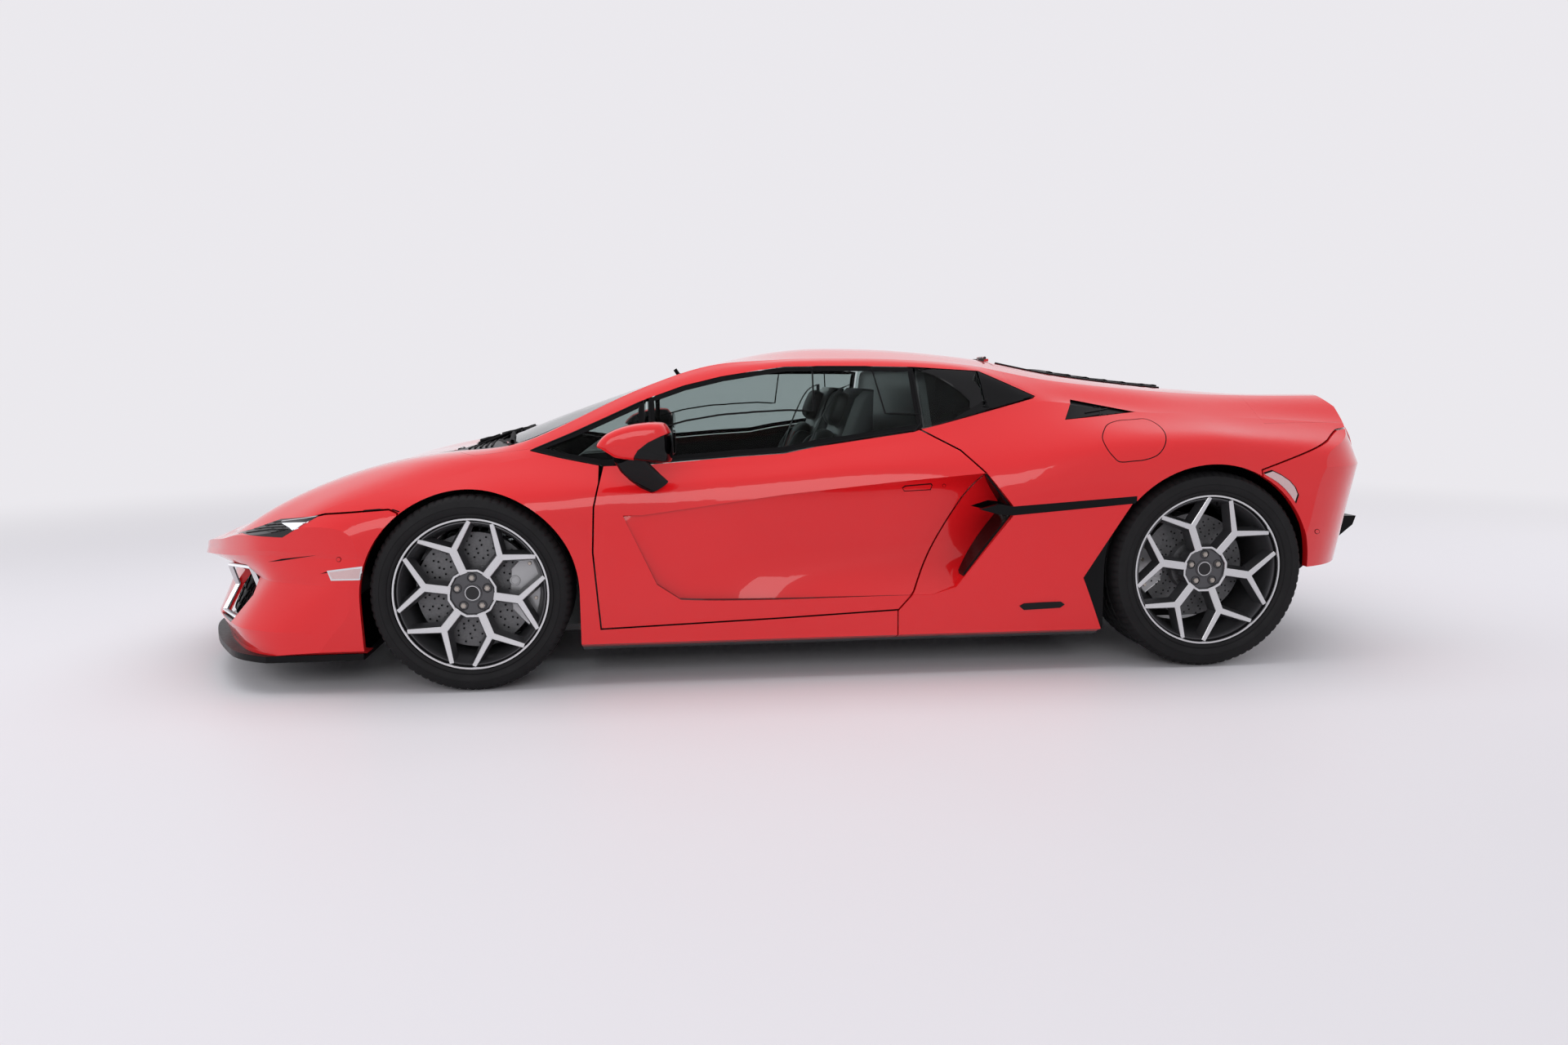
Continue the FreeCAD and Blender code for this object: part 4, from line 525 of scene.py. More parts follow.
def patch(piece, outline, lift, finish, lay, sunk=.002, edge=.0025, edge_finish=None):
    """A pillow over a closed outline, laid on the surface."""
    middle = sum((Vector(p) for p in outline), Vector((0, 0, 0))) / len(outline)
    rings = [[lay.at(p, -sunk)[0] for p in outline], [lay.at(p, lift * .6)[0] for p in outline]]
    for size in (1 - edge / max(.01, (Vector(outline[0]) - middle).length), .96, .75, .5, .25):
        rings.append([lay.at(middle + (Vector(p) - middle) * size, lift)[0] for p in outline])
    piece.rings(rings, [edge_finish or finish] * 2 + [finish])
    last = rings[-1]
    peak = lay.at(middle, lift)[0]
    piece.add(last + [peak], [[i, (i + 1) % len(last), len(last)] for i in range(len(last))], finish)
    return piece


def side_points(shares, y=-1.0):
    return [Vector((station(at), y, height * HEIGHT)) for at, height in shares]


def both(name, piece, body, other_body=None, **settings):
    """The left piece and its mirror image on the right."""
    if other_body is None:
        return piece.joined(piece.mirrored()).make(name, body, **settings)
    other = dict(settings)
    if "replace" in settings:
        other["replace"] = tuple(node.replace("left", "right") for node in settings["replace"])
    return piece.make(name + "_left", body, **settings), piece.mirrored().make(name + "_right", other_body, **other)


# Wheels, tyres and brakes

SPOKES = 6
SPOKE_START = math.radians(51)
BOLTS = 5
BOLT_CIRCLE = .054
HUB_SIDES = 12
HUB_SETBACK = .02


def wheel(radius, face, depth):
    """A wheel with forked spokes about the y line, its face towards -y."""
    made = Piece()
    barrel = [(radius - .008, depth), (radius, depth - .004), (radius, depth - .02), (radius - .006, depth - .03),
              (radius - .03, depth - .05), (radius - .034, .075), (radius - .022, .05), (radius - .004, .03),
              (radius, .016), (radius, .003), (radius - .002, 0), (radius - .0078, 0), (radius - .0092, .0035),
              (radius - .0115, .011), (radius - .0145, .0125), (radius - .018, .012), (radius - .024, .021),
              (radius - .028, .04), (radius - .04, .08), (radius - .044, depth - .05), (radius - .014, depth - .02),
              (radius - .008, depth)]
    # Two bands of the groove behind the lip are black: painted shade in the groove.
    finishes = [alloy] * 9 + [alloy, machined, machined, matt_black_and_shade, matt_black_and_shade, alloy, alloy] + [alloy] * 6
    made.lathe(barrel, (0, face, 0), finishes, 120)
    spread, tip, inner = math.radians(21.3), radius - .012, .074

    def spoke_edge(grow):
        """The forked spoke's edge, as (out, across)."""
        stem, arm, end = .0125 + grow, .0092 + grow, .0062 + grow
        goal = Vector((tip * math.cos(spread), tip * math.sin(spread)))
        start = Vector((.6 * radius, 0))
        way = (goal - start).normalized()
        across = Vector((-way.y, way.x))
        outer_a, outer_b = start + across * arm, goal + across * end
        inner_a, inner_b = start - across * arm, goal - across * end
        shoulder = outer_a.lerp(outer_b, (stem - outer_a.y) / (outer_b.y - outer_a.y))
        crotch = inner_a.lerp(inner_b, -inner_a.y / (inner_b.y - inner_a.y))
        crotch.x = min(crotch.x, radius - .045)
        half = [Vector((inner, -stem)), Vector((shoulder.x, -shoulder.y)), Vector((outer_b.x, -outer_b.y)),
                Vector((inner_b.x, -inner_b.y))]
        return half + [crotch] + [Vector((p.x, -p.y)) for p in reversed(half)]

    def dished(out):
        """How far the spokes' face lies behind the rim's, from hub to rim."""
        share = max(0, min(1, (out - inner) / (radius - inner)))
        return HUB_SETBACK + (.004 - HUB_SETBACK) * share ** 1.3

    edges = [(spoke_edge(grow), drop) for grow, drop in ((0, 0), (.0018, .0016), (.0095, .026), (.012, .044))]
    for spoke in turns(SPOKES):
        along, across = math.cos(spoke + SPOKE_START), math.sin(spoke + SPOKE_START)
        rings = [[(p.x * along - p.y * across, face + dished(p.x) + drop, p.x * across + p.y * along) for p in edge]
                 for edge, drop in edges]
        made.rings(rings, [machined, alloy, alloy])
        made.add(rings[0], [[0, 1, 7, 8], [1, 2, 3, 4], [4, 5, 6, 7], [1, 4, 7]], machined)

    def hub_ring(size, drop):
        half_side = math.pi / HUB_SIDES
        return [(size * math.cos(turn + half_side), face + HUB_SETBACK + drop, size * math.sin(turn + half_side))
                for turn in turns(HUB_SIDES)]
    hub = [hub_ring(size, drop) for size, drop in
           ((.088, .05), (.088, .004), (.0862, 0), (.0795, 0), (.078, .0015), (.074, .009))]
    made.rings(hub, [alloy, alloy, machined, machined, alloy])
    plate = face + HUB_SETBACK + .009
    # The pockets' inner walls and floors are black: painted shade in the bolt pockets.
    pocket = [(.0165, -.003), (.0152, -.0045), (.0138, -.003), (.0128, .006), (.0105, .007)]
    nut = [(.0, .0055), (.0068, .0055), (.0078, .0068), (.0095, .007), (.0095, .012)]
    for turn in turns(BOLTS):
        x, z = -BOLT_CIRCLE * math.sin(turn), BOLT_CIRCLE * math.cos(turn)
        made.joined(Piece().lathe(pocket, (x, plate, z), [alloy, alloy, matt_black_and_shade], 24))
        made.joined(Piece().lathe(nut, (x, plate - .012, z), steel, 6))
    made.add(hub[-1], [list(range(HUB_SIDES))], alloy)
    cap = [(0, -.0045), (.022, -.0045), (.0235, -.003), (.0255, -.003), (.0268, -.0052), (.0305, -.0052),
           (.032, -.0035), (.032, .004)]
    made.lathe(cap, (0, plate, 0), [lamp_black, lamp_black, machined, machined, alloy], 48)
    for turn in turns(18):
        way = Vector((math.cos(turn), 0, math.sin(turn)))
        side = Vector((-way.z, 0, way.x))
        ends = [Vector((0, plate + .0005, 0)) + way * r + side * s for r, s in
                [(.0665, -.0012), (.0715, -.0012), (.0715, .0012), (.0665, .0012)]]
        made.add(ends, [[0, 1, 2, 3]], matt_black_and_shade)
    valve = SPOKE_START + math.pi / SPOKES
    way = Vector((math.cos(valve), 0, math.sin(valve)))
    base = way * (radius - .03) + Vector((0, face + .03, 0))
    made.tube([base, base - way * .014 - Vector((0, .012, 0))], [.0042, .0036], trim, 8)
    return made


PITCHES = 76
STEPS_TO_PITCH = 4
GROOVES = (.2, .4, .6, .8)
GROOVE_HALF = .0052
GROOVE_DEPTH = .0065
SHOULDER = .034


def tyre(radius, bead, width):
    """A tyre about the y line from its outer bead at y 0, with tread, ribs and shoulder blocks."""
    side = [(bead + .0005, .012), (bead + .001, .0045), (bead + .006, .0005), (bead + .011, .0), (bead + .0135, .0022),
            (bead + .0165, -.0006), (bead + .03, -.0055), (bead + .036, -.0062), (bead + .0372, -.0052),
            (bead + .0384, -.0062), (bead + .046, -.0045)]
    crown = [(radius - .0165, .0015), (radius - .0098, .0085), (radius - .0045, .0175), (radius - .0018, .028)]
    outer = [(r, y + .0065) for r, y in side if r < radius - .02] + [(r, y + .0045) for r, y in crown]
    tread = []
    for groove in GROOVES:
        middle = SHOULDER + (width - 2 * SHOULDER) * groove
        for side, way in ((middle - GROOVE_HALF, 1), (middle + GROOVE_HALF, -1)):
            tread += [(radius, side - .0008 * way), (radius - GROOVE_DEPTH, side + .0012 * way)][::way]
    profile = outer + [(radius, .036)] + tread + [(radius, width - .036)] + [(r, width - y) for r, y in reversed(outer)]
    profile += [(bead - .001, width - .03), (bead - .001, .03)]
    steps = PITCHES * STEPS_TO_PITCH
    rings = []
    for r, y in profile:
        ring = []
        for i in range(steps):
            inner_half = y > width / 2
            turn = 2 * math.pi * (i + .9 * inner_half) / steps
            from_edge = min(y, width - y)
            drop = 0
            if i % 4 == 0 and r > radius - .0108 and from_edge < .05:
                drop = .0042
            elif i % 4 == 2 and r > radius - .0005 and from_edge > .05 and (i // 4) % 2 == inner_half:
                drop = .003
            elif i % 8 == 0 and radius - .017 < r <= radius - .0095 and from_edge < .02:
                drop = .0014
            bulge = .9985 if r > radius - .0001 else 1
            ring.append(((r * bulge - drop) * math.cos(turn), y, (r * bulge - drop) * math.sin(turn)))
        rings.append(ring)
    return Piece().rings(rings, rubber, around=True)


def moved(piece, offset):
    made = Piece()
    made.points = [(x + offset[0], y + offset[1], z + offset[2]) for x, y, z in piece.points]
    made.faces, made.marks, made.finishes = piece.faces, piece.marks, piece.finishes
    return made


def disc_marks(radius, hat):
    """Drilled holes in curved rows, drawn as flat black spots that paint the holes' shade, and the bell's bolts, on a
    plane facing -y.
    """
    made = Piece()
    holes, size = 6, .0036
    for row in turns(24):
        for hole in range(holes):
            out = hat + .018 + (radius - hat - .032) * hole / (holes - 1)
            turn = row + .1 * hole + .06 * (hole % 2)
            x, z = out * math.cos(turn), out * math.sin(turn)
            # Each hole is a flat black spot: painted shade in place of the hole.
            made.add([(x + size * math.cos(t), 0, z + size * math.sin(t)) for t in turns(8)], [list(range(8))], matt_black_and_shade)
    for turn in turns(10):
        x, z = (hat - .012) * math.cos(turn), (hat - .012) * math.sin(turn)
        made.lathe([(0, -.004), (.0052, -.004), (.006, -.003), (.006, .002)], (x, 0, z), forged, 6)
    return made


def brake_caliper(low, high, centre):
    """A block round the disc's edge between two box corners, its face towards -y."""
    made = Piece()
    way = math.copysign(1, (low.x + high.x) / 2 - centre.x)
    inner, outer = sorted(abs(x - centre.x) for x in (low.x, high.x))
    half = math.asin(min(.99, (high.z - low.z) / 2 / (outer * 1.04)))
    steps = 14
    shape = []
    for i in range(steps + 1):
        turn = -half + 2 * half * i / steps
        out = outer - (.006 if i in (0, steps) else 0)
        shape.append((out * math.cos(turn), out * math.sin(turn) * 1.02))
    for i in range(steps, -1, -1):
        turn = (-half + 2 * half * i / steps) * .93
        bow = inner + .006 + .012 * abs(i / steps - .5)
        shape.append((bow, bow * math.tan(turn) * .92))
    middle = (outer + inner) / 2
    rings = [[(centre.x + (middle + (x - middle) * size) * way, low.y + drop, centre.z + z * size) for x, z in shape]
             for size, drop in ((1, high.y - low.y), (1, .03), (1, .004), (.965, .0), (.93, .0015), (.9, .0015))]
    made.rings(rings, caliper)
    last = len(shape) - 1
    strips = [[i, i + 1, last - 1 - i, last - i] for i in range(steps)]
    made.add(rings[-1], strips, caliper)
    made.add(rings[0], strips, caliper)

    def boss(share, out, profile, finish, sides):
        turn = half * share
        place = (centre.x + out * math.cos(turn) * way, low.y, centre.z + out * math.sin(turn))
        made.lathe(profile, place, finish, sides)
    for share in (-.72, -.25, .25, .72):
        boss(share, outer - .017, [(0, -.003), (.006, -.003), (.0072, -.0018), (.0072, .004)], steel, 6)
    for share in (-.36, .36):
        boss(share, inner + .028, [(0, -.0012), (.012, -.0012), (.0135, -.0028), (.017, -.0028), (.0185, -.001),
                                   (.0185, .004)], caliper, 28)
    return made


HAT_RADIUS = .098
for end, rim_radius, hub, axle in (("front", .267, FRONT_HUB, FRONT_AXLE), ("rear", .28, REAR_HUB, REAR_AXLE)):
    tyre_low, tyre_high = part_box("tyre_" + end + "_left")
    rim_low, rim_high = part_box("wheel_" + end + "_left")
    disc_low, disc_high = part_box("brake_disc_" + end + "_left")
    rim = moved(wheel(rim_radius, rim_low.y + .001, rim_high.y - rim_low.y - .003), (axle, 0, hub))
    tread = tyre(hub - .0003, rim_radius + .0006, tyre_high.y - tyre_low.y)
    tread = moved(tread, (axle, tyre_low.y, hub))
    holes = disc_marks((disc_high.x - disc_low.x) / 2, HAT_RADIUS)
    holes = moved(holes, (axle, disc_low.y - .0006, hub))
    for side in ("left", "right"):
        for name, piece, node, soft in (("rim", rim, "wheel_", 28), ("tread", tread, "tyre_", 32),
                                        ("disc_holes", holes, None, 30)):
            shown = piece if side == "left" else piece.mirrored()
            shown.make("detail_" + name + "_" + end + "_" + side, "wheel_" + end + "_" + side, soft=soft,
                       replace=(node + end + "_" + side,) if node else ())

low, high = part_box("caliper_front_left")
block = brake_caliper(low, high, Vector((FRONT_AXLE, 0, FRONT_HUB)))
both("detail_caliper_front", block, "knuckle_left", "knuckle_right", soft=35, replace=("caliper_front_left",))
low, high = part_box("rear_calipers")
block = brake_caliper(low, Vector((high.x, low.y + REAR_CALIPER_WIDTH, high.z)), Vector((REAR_AXLE, 0, REAR_HUB)))
both("detail_calipers_rear", block, "chassis", soft=35, replace=("rear_calipers",))

# The camera stands at the photograph's place, found from the wheels' size and spacing

yaw, pitch, roll = .10069, .13029, -.00697
eye = Vector((-.4292, -4.7240, 1.0666))
forward = Vector((math.sin(yaw) * math.cos(pitch), math.cos(yaw) * math.cos(pitch), -math.sin(pitch)))
right = Vector((math.cos(yaw), -math.sin(yaw), 0))
upward = right.cross(forward)
tilted_right = right * math.cos(roll) + upward * math.sin(roll)
tilted_up = upward * math.cos(roll) - right * math.sin(roll)
LENS = 24.79
SENSOR_WIDTH = 36
IMAGE_WIDTH, IMAGE_HEIGHT = 1920, 1280
FOCUS = LENS / SENSOR_WIDTH * IMAGE_WIDTH
FLANK_PLANE = -.93


def ray(u, v):
    return forward + tilted_right * ((u - IMAGE_WIDTH / 2) / FOCUS) - tilted_up * ((v - IMAGE_HEIGHT / 2) / FOCUS)


def seen(u, v, y):
    """The place in the plane at y that shows at a place in the photograph."""
    way = ray(u, v)
    return eye + way * ((y - eye.y) / way.y)


class Sight(Lay):
    """Places on a surface, given by where they show in the photograph."""

    def __init__(self, *names):
        self.tree = skin_of(*names)

    def at(self, point, lift=0.0):
        way = ray(point[0], point[1]).normalized()
        hit, normal, index, distance = self.tree.ray_cast(eye, way)
        if hit is None:
            hit, normal, index, distance = self.tree.find_nearest(seen(point[0], point[1], FLANK_PLANE))
        if normal.dot(way) > 0:
            normal = -normal
        return hit + normal * lift, normal


def flat_places(points, gap=2.0, closed=True):
    return evenly([(u, v, 0) for u, v in points], gap, closed)


def circle(u, v, size):
    return [Vector((u + size * math.cos(t), v + size * math.sin(t), 0)) for t in turns(20)]


nose_skin = Sight("front_bumper", "front_fenders")
marker = Piece()
patch(marker, flat_places([(400.5, 699.2), (443.8, 693.7), (441.6, 710.6), (405.5, 711.4)]), .0016, silver,
      nose_skin)
patch(marker, flat_places([(403.2, 701), (441.8, 696.2), (440, 708.7), (407.2, 709.4)]), .0032, pale_lens, nose_skin,
      edge_finish=silver)
patch(marker, flat_places([(392.4, 702.9), (400, 700.2), (401, 701.6)], .8), .0005, matt_black_and_shade, nose_skin, edge=.0004)
both("detail_side_marker", marker, "chassis")
# Thin black strips along the nose's creases: painted shade in the creases.
painted_crease_shade = Piece()
patch(painted_crease_shade, flat_places([(328.7, 688.3), (345, 684.6), (386.8, 680.2), (345, 686.8)]), .0006, matt_black_and_shade, nose_skin,
      edge=.0006)
ribbon(painted_crease_shade, flat_places([(398.6, 629.6), (430, 626.6), (468, 623.6), (480, 624), (489, 627)], 3, False), .0045,
       .0005, matt_black_and_shade, nose_skin)
both("detail_nose_lines", painted_crease_shade, "chassis")
sensors = Piece()
for u, v, sight in ((414.8, 685.3, nose_skin), (1612.7, 651, Sight("rear_bumper"))):
    patch(sensors, circle(u, v, 3.1), .0004, matt_black_and_shade, sight, edge=.0004)
    patch(sensors, circle(u, v, 2.5), .0012, paint, sight, edge=.0006)
both("detail_parking_sensors", sensors, "chassis")

lamp_sight = Sight("headlamps")
lamp = Piece()
patch(lamp, flat_places([(345.4, 641.4), (379.6, 640.2), (362.2, 651.2)]), .0035, light_white, lamp_sight,
      edge_finish=silver, edge=.002)
for row in range(4):
    share = row / 3
    path = [(302 + 13 * share, 652.5 - 4.2 * row), (330 + 5 * share, 648.6 - 3.0 * row),
            (352 - 6 * share, 648.4 - 3.4 * row)]
    ribbon(lamp, flat_places(path, 3, False), .004, .0022, gloss if row % 2 else trim, lamp_sight)
ribbon(lamp, flat_places([(345, 638.6), (372, 635.4), (392, 631.6)], 3, False), .0035, .0022, silver, lamp_sight)
both("detail_headlamp", lamp, "chassis")

door_sight = Sight("door_left")
handle = Piece()
patch(handle, flat_places([(1104.4, 597.4), (1108, 594.6), (1140.4, 591.8), (1142, 594), (1139.6, 600.2), (1107, 602)]),
      .0004, matt_black_and_shade, door_sight, edge=.0004)
patch(handle, flat_places([(1105.6, 598), (1108.8, 595.8), (1139.6, 593.2), (1140.6, 594.6), (1138.6, 598.8),
                            (1107.4, 600.6)]), .0022, paint, door_sight, edge=.0014)
patch(handle, circle(1156, 594.8, 2.2), .0004, matt_black_and_shade, door_sight, edge=.0004)
patch(handle, circle(1156, 594.8, 1.7), .0014, paint, door_sight, edge=.0008)
both("detail_door_handle", handle, "door_left", "door_right")

rear_sight = Sight("rear_quarters", "rear_bumper", "engine_cover", "roof", "rear_spoiler")
flap = Piece()
ribbon(flap, smoothly([(u, v, 0) for u, v in [
    (1350, 537), (1352, 527), (1356.6, 519.8), (1368.5, 515.4), (1386, 513.9), (1403.2, 513.3), (1418.4, 520.9),
    (1427, 532), (1426.5, 545), (1418, 557), (1403, 563), (1388, 564.8), (1371.8, 565.8), (1364, 560),
    (1356, 550)]], 5, True), .0034, .0004, matt_black_and_shade, rear_sight, closed=True)
both("detail_fuel_flap", flap, "chassis")
badge = Piece()
patch(badge, flat_places([(1248, 742.2), (1253.5, 739), (1276, 737.6), (1299, 736.8), (1303.4, 740.2), (1298, 744.2),
                          (1276, 745.6), (1253.5, 747)]), .0028, gloss, rear_sight, edge=.0024, edge_finish=trim)
both("detail_side_plate_bare", badge, "chassis")
reflector = Piece()
reflector_edge = flat_places([
    (1545.5, 579.4), (1557, 575.6), (1568, 580.8), (1579.5, 588.6), (1586.6, 597), (1590.4, 606.2), (1587, 616.6),
    (1581, 608), (1572.9, 598.4), (1564, 590.6), (1556, 585.4)])
patch(reflector, reflector_edge, .0012, matt_black_and_shade, rear_sight)
inner = Vector((1569, 593.4, 0))
patch(reflector, [inner + (p - inner) * .9 for p in reflector_edge], .003, pale_lens, rear_sight, edge_finish=silver)
both("detail_arch_reflector", reflector, "chassis")

# Seals round the windows, the thin posts between them, and the black panel behind the last one

window_seals = (
    ("front_window", "quarter_windows", ("chassis",), [
        (.073, .688), (.0958, .6763), (.1189, .6645), (.1437, .654), (.1685, .6435), (.2268, .6475), (.2268, .8355),
        (.178, .787), (.1275, .738)]),
    ("window", "door_glass_left", ("door_left", "door_right"), [
        (.2322, .6478), (.3473, .667), (.4135, .675), (.4579, .694), (.5937, .7345), (.6075, .7412), (.6075, .9300),
        (.5402, .933), (.4695, .934), (.4229, .933), (.386, .922), (.333, .904), (.2807, .877), (.2322, .8403)]))
for name, node, bodies, edge in window_seals:
    outline = [(p.x, p.z) for p in side_points(edge)]
    lay = Lay(skin_of(node), (0, 1, 0))
    seal = Piece()
    for size, wide, rise, finish in ((.011, .022, .0012, matt_black_and_shade), (.003, .006, .0028, trim)):
        path = evenly([(p.x, -1.0, p.y) for p in inward(outline, size)], .02, True)
        ribbon(seal, path, wide, rise, finish, lay, sunk=.0005, crown=.0004, closed=True)
    both("detail_" + name + "_seal", seal, *bodies)

quarter_sight = Sight("quarter_windows")
blade_sight = Sight("pillar_blades", "quarter_windows")
panel = Piece()
curve = smoothly([(u, v, 0) for u, v in ((1126, 454.5), (1141, 459.5), (1156, 467), (1170, 476), (1182, 486),
                                         (1192.8, 497.5))], 4)
top_edge = evenly([(u, v, 0) for u, v in ((1142, 453), (1160, 453.4), (1180, 454.6), (1197, 456.2), (1203, 461),
                                          (1209, 469), (1209.5, 480), (1209, 489.5))], 3)
top_line = [top_edge[round(i * (len(top_edge) - 1) / (len(curve) - 1))] for i in range(len(curve))]
strips = []
for share in (0, .04, .3, .65, 1):
    lift = -.001 if share == 0 else .0022
    strips.append([quarter_sight.at(a.lerp(b, share), lift)[0] for a, b in zip(curve, top_line)])
panel.rings(strips, gloss, closed=False)
both("detail_quarter_panel", panel, "chassis", recalc=False)
ridge = Piece()
patch(ridge, flat_places([(1196, 497), (1213, 485.2), (1240, 484.2), (1268, 486.4), (1240, 495.5), (1210, 507),
                          (1182, 517), (1160, 522), (1172, 511)], 3), .0045, trim, blade_sight, edge=.004)
both("detail_quarter_blade_facet", ridge, "chassis")

# Mirrors on swept arms

MIRROR_PLANE = -1.06
outline = [seen(u, v, MIRROR_PLANE) for u, v in [
    (731.8, 545.5), (741, 533.5), (756, 525.5), (774, 520.3), (791, 518), (803, 517.6), (812.4, 519.4), (818.6, 527.5),
    (822.6, 538), (822.4, 553), (820.4, 565.5), (806, 566.4), (790, 565.2), (771, 562.8), (755.5, 560.4), (746, 555.2),
    (738.4, 550.3)]]
outline = smoothly(outline, 8, True)
middle = sum(outline, Vector()) / len(outline)
sections = [(-.978, .3), (-.981, .62), (-.99, .86), (-1.005, .965), (-1.03, 1.0), (-1.06, 1.0), (-1.088, .965),
            (-1.106, .87), (-1.117, .68), (-1.1215, .36)]
sections = smoothly([(y, size, 0) for y, size in sections], 4)
mirror = Piece()


def scaled(points, y, size, at):
    """The mirror's outline round its middle, leaning rearwards towards the car."""
    lean = (at - MIRROR_PLANE) * .12
    return [(middle.x + (p.x - middle.x) * size + lean, y, middle.z + (p.z - middle.z) * size) for p in points]


def above(points, line_at):
    """The part of a closed outline over a line, cut where the line crosses it."""
    kept = []
    for i, p in enumerate(points):
        q = points[(i + 1) % len(points)]
        over_p, over_q = p.z - line_at(p.x), q.z - line_at(q.x)
        if over_p >= 0:
            kept.append(p)
        if (over_p > 0) != (over_q > 0):
            kept.append(p.lerp(q, over_p / (over_p - over_q)))
    return kept


def cap_line(x):
    """Falls towards the nose, so that the black wedge grows rearwards, and climbs over the glass at the rear."""
    forward = x - middle.x
    return middle.z + max(-.052 + forward * .34, (forward - .095) * 4)


body_rings = [scaled(outline, section.x, section.y, section.x) for section in sections]
mirror.rings(body_rings, gloss)
for ring in (body_rings[0], body_rings[-1]):
    mirror.add(ring, [list(range(len(outline)))], gloss)
cap_outline = evenly([tuple(p) for p in above(outline, cap_line)], .006, True)
mirror.rings([scaled(cap_outline, section.x * 1.0015, section.y + .018, section.x) for section in sections], paint,
             ends=True)
arm_rings = []
for u, v, y, thick, deep in [(766, 556, -1.04, .075, .026), (774, 568, -1.025, .078, .024),
                             (784, 579, -1.0, .075, .018), (796, 589, -.972, .07, .013), (807, 596, -.95, .06, .01)]:
    at = seen(u, v, y)
    arm_rings.append([at + Vector((.86, 0, .5)) * bent(math.cos(t), .8) * thick * .62
                      + Vector((-.2, .4, .5)).normalized() * math.sin(t) * deep for t in turns(16)])
mirror.rings(arm_rings, gloss, ends=True)
glass_at = middle + Vector((.1175, -.004, .002))
glass_rings = []
for size, back in ((1, -.002), (.96, .0012), (.9, .0012)):
    corners = [(bent(math.cos(t), .55) * .056 * size, bent(math.sin(t), .6) * .041 * size) for t in turns(28)]
    glass_rings.append([glass_at + Vector((back + wide * .1, wide, tall)) for wide, tall in corners])
mirror.rings(glass_rings, trim)
mirror.add(glass_rings[-1], [list(range(28))], mirror_glass)
both("detail_mirror", mirror, "door_left", "door_right", replace=("mirror_left",), soft=38, weld=.0001)

# Nose: light rings in the side mouths, mesh behind the openings, wipers

def end_places(shares):
    return [(breadth * HALF_WIDTH, height * HEIGHT) for breadth, height in shares]


def band_in_hole(outline, lay, near, over, inner, outer, finish, edge):
    """A bevelled band inside an opening, at some depths behind its edge."""
    depth = [lay.at((0, y, z))[0].x for y, z in inward(outline, -.012)]
    rings = []
    for size, back in ((outer, over), (outer, near), (outer + .003, near - .002), (inner - .003, near - .002),
                       (inner, near), (inner, over)):
        rings.append(divided([Vector((x + back, p.x, p.y)) for x, p in zip(depth, inward(outline, size))], 6))
    return Piece().rings(rings, [edge, edge, finish, edge, edge])


def lattice(piece, lay, low, high, pitch, wide, rise, finish, inside=None):
    """Hexagonal cells drawn on the surface over a window of (y, z)."""
    tall = pitch * .5
    row = 0
    z = low[1]
    while z < high[1]:
        y = low[0] + (pitch / 2 if row % 2 else 0)
        while y < high[0]:
            a, b, c, d = (y, z), (y + pitch / 2, z + tall / 2), (y + pitch / 2, z + tall * 1.5), (y + pitch, z)
            for start, end in ((a, b), (b, d), (b, c)):
                middle = ((start[0] + end[0]) / 2, (start[1] + end[1]) / 2)
                if inside and not inside(*middle) or not (lay.meets((0, *start)) and lay.meets((0, *end))):
                    continue
                ribbon(piece, [Vector((0, *start)), Vector((0, *end))], wide, rise, finish, lay, sunk=.001)
            y += pitch
        z += tall * 1.5
        row += 1
    return piece


def within(outline):
    def test(y, z):
        odd = False
        for i in range(len(outline)):
            (y1, z1), (y2, z2) = outline[i - 1], outline[i]
            if (z1 > z) != (z2 > z) and y < (y2 - y1) * (z - z1) / (z2 - z1) + y1:
                odd = not odd
        return odd
    return test


mouth = end_places([(.56, .185), (.52, .27), (.56, .345), (.7, .352), (.77, .27), (.73, .182)])
nose_lay = Lay(skin_of("front_bumper"), (1, 0, 0))
both("detail_light_rings", band_in_hole(mouth, nose_lay, .012, .026, .017, .005, light_white, silver), "chassis")
grille_lay = Lay(skin_of("front_grille"), (1, 0, 0))
side_mesh = lattice(Piece(), grille_lay, (mouth[1][0] - .02, .19), (.8, .45), .034, .0045, .004, trim)
side_mesh.joined(side_mesh.mirrored())
lattice(side_mesh, grille_lay, (-.46, .14), (.46, .37), .034, .0045, .004, trim)
side_mesh.make("detail_nose_mesh", "chassis", weld=0)

glass_top = Lay(skin_of("windshield", "cowl"), (0, 0, -1))
wipers = Piece()
for pivot, near, over in (((-1.2, -.26), (-1.02, -.665), (-1.1, -.04)), ((-1.2, .3), (-1.095, .02), (-1.035, .62))):
    blade = straight((*near, 0), (*over, 0), 12)
    ribbon(wipers, blade, .013, .012, matt_black_and_shade, glass_top, crown=.004)
    arm = straight((*pivot, 0), blade[7], 8)
    wipers.tube([glass_top.at(p, .016)[0] for p in arm], [.009] * 3 + [.0065] * 6, trim, 8)
    base = glass_top.at((*pivot, 0))[0]
    knob = Piece().lathe([(0, -.014), (.013, -.014), (.017, -.008), (.017, .012)], (0, 0, 0), trim, 20)
    knob.points = [(base.x + x, base.y - z, base.z - y) for x, y, z in knob.points]
    wipers.joined(knob)
wipers.make("detail_wipers", "chassis")
cowl_lay = Lay(skin_of("cowl"), (0, 0, -1))
slots = Piece()
for side in (-1, 1):
    for row in range(5):
        x = -1.235 + .022 * row
        path = straight((x, side * .2, 0), (x + .05, side * (.62 + .01 * row), 0), 10)
        ribbon(slots, path, .008, .004, matt_black_and_shade, cowl_lay)
slots.make("detail_cowl_ribs", "chassis")

# Tail: lamps, mesh, bare plate, exhaust collar, the cover's blades and the deck's vents

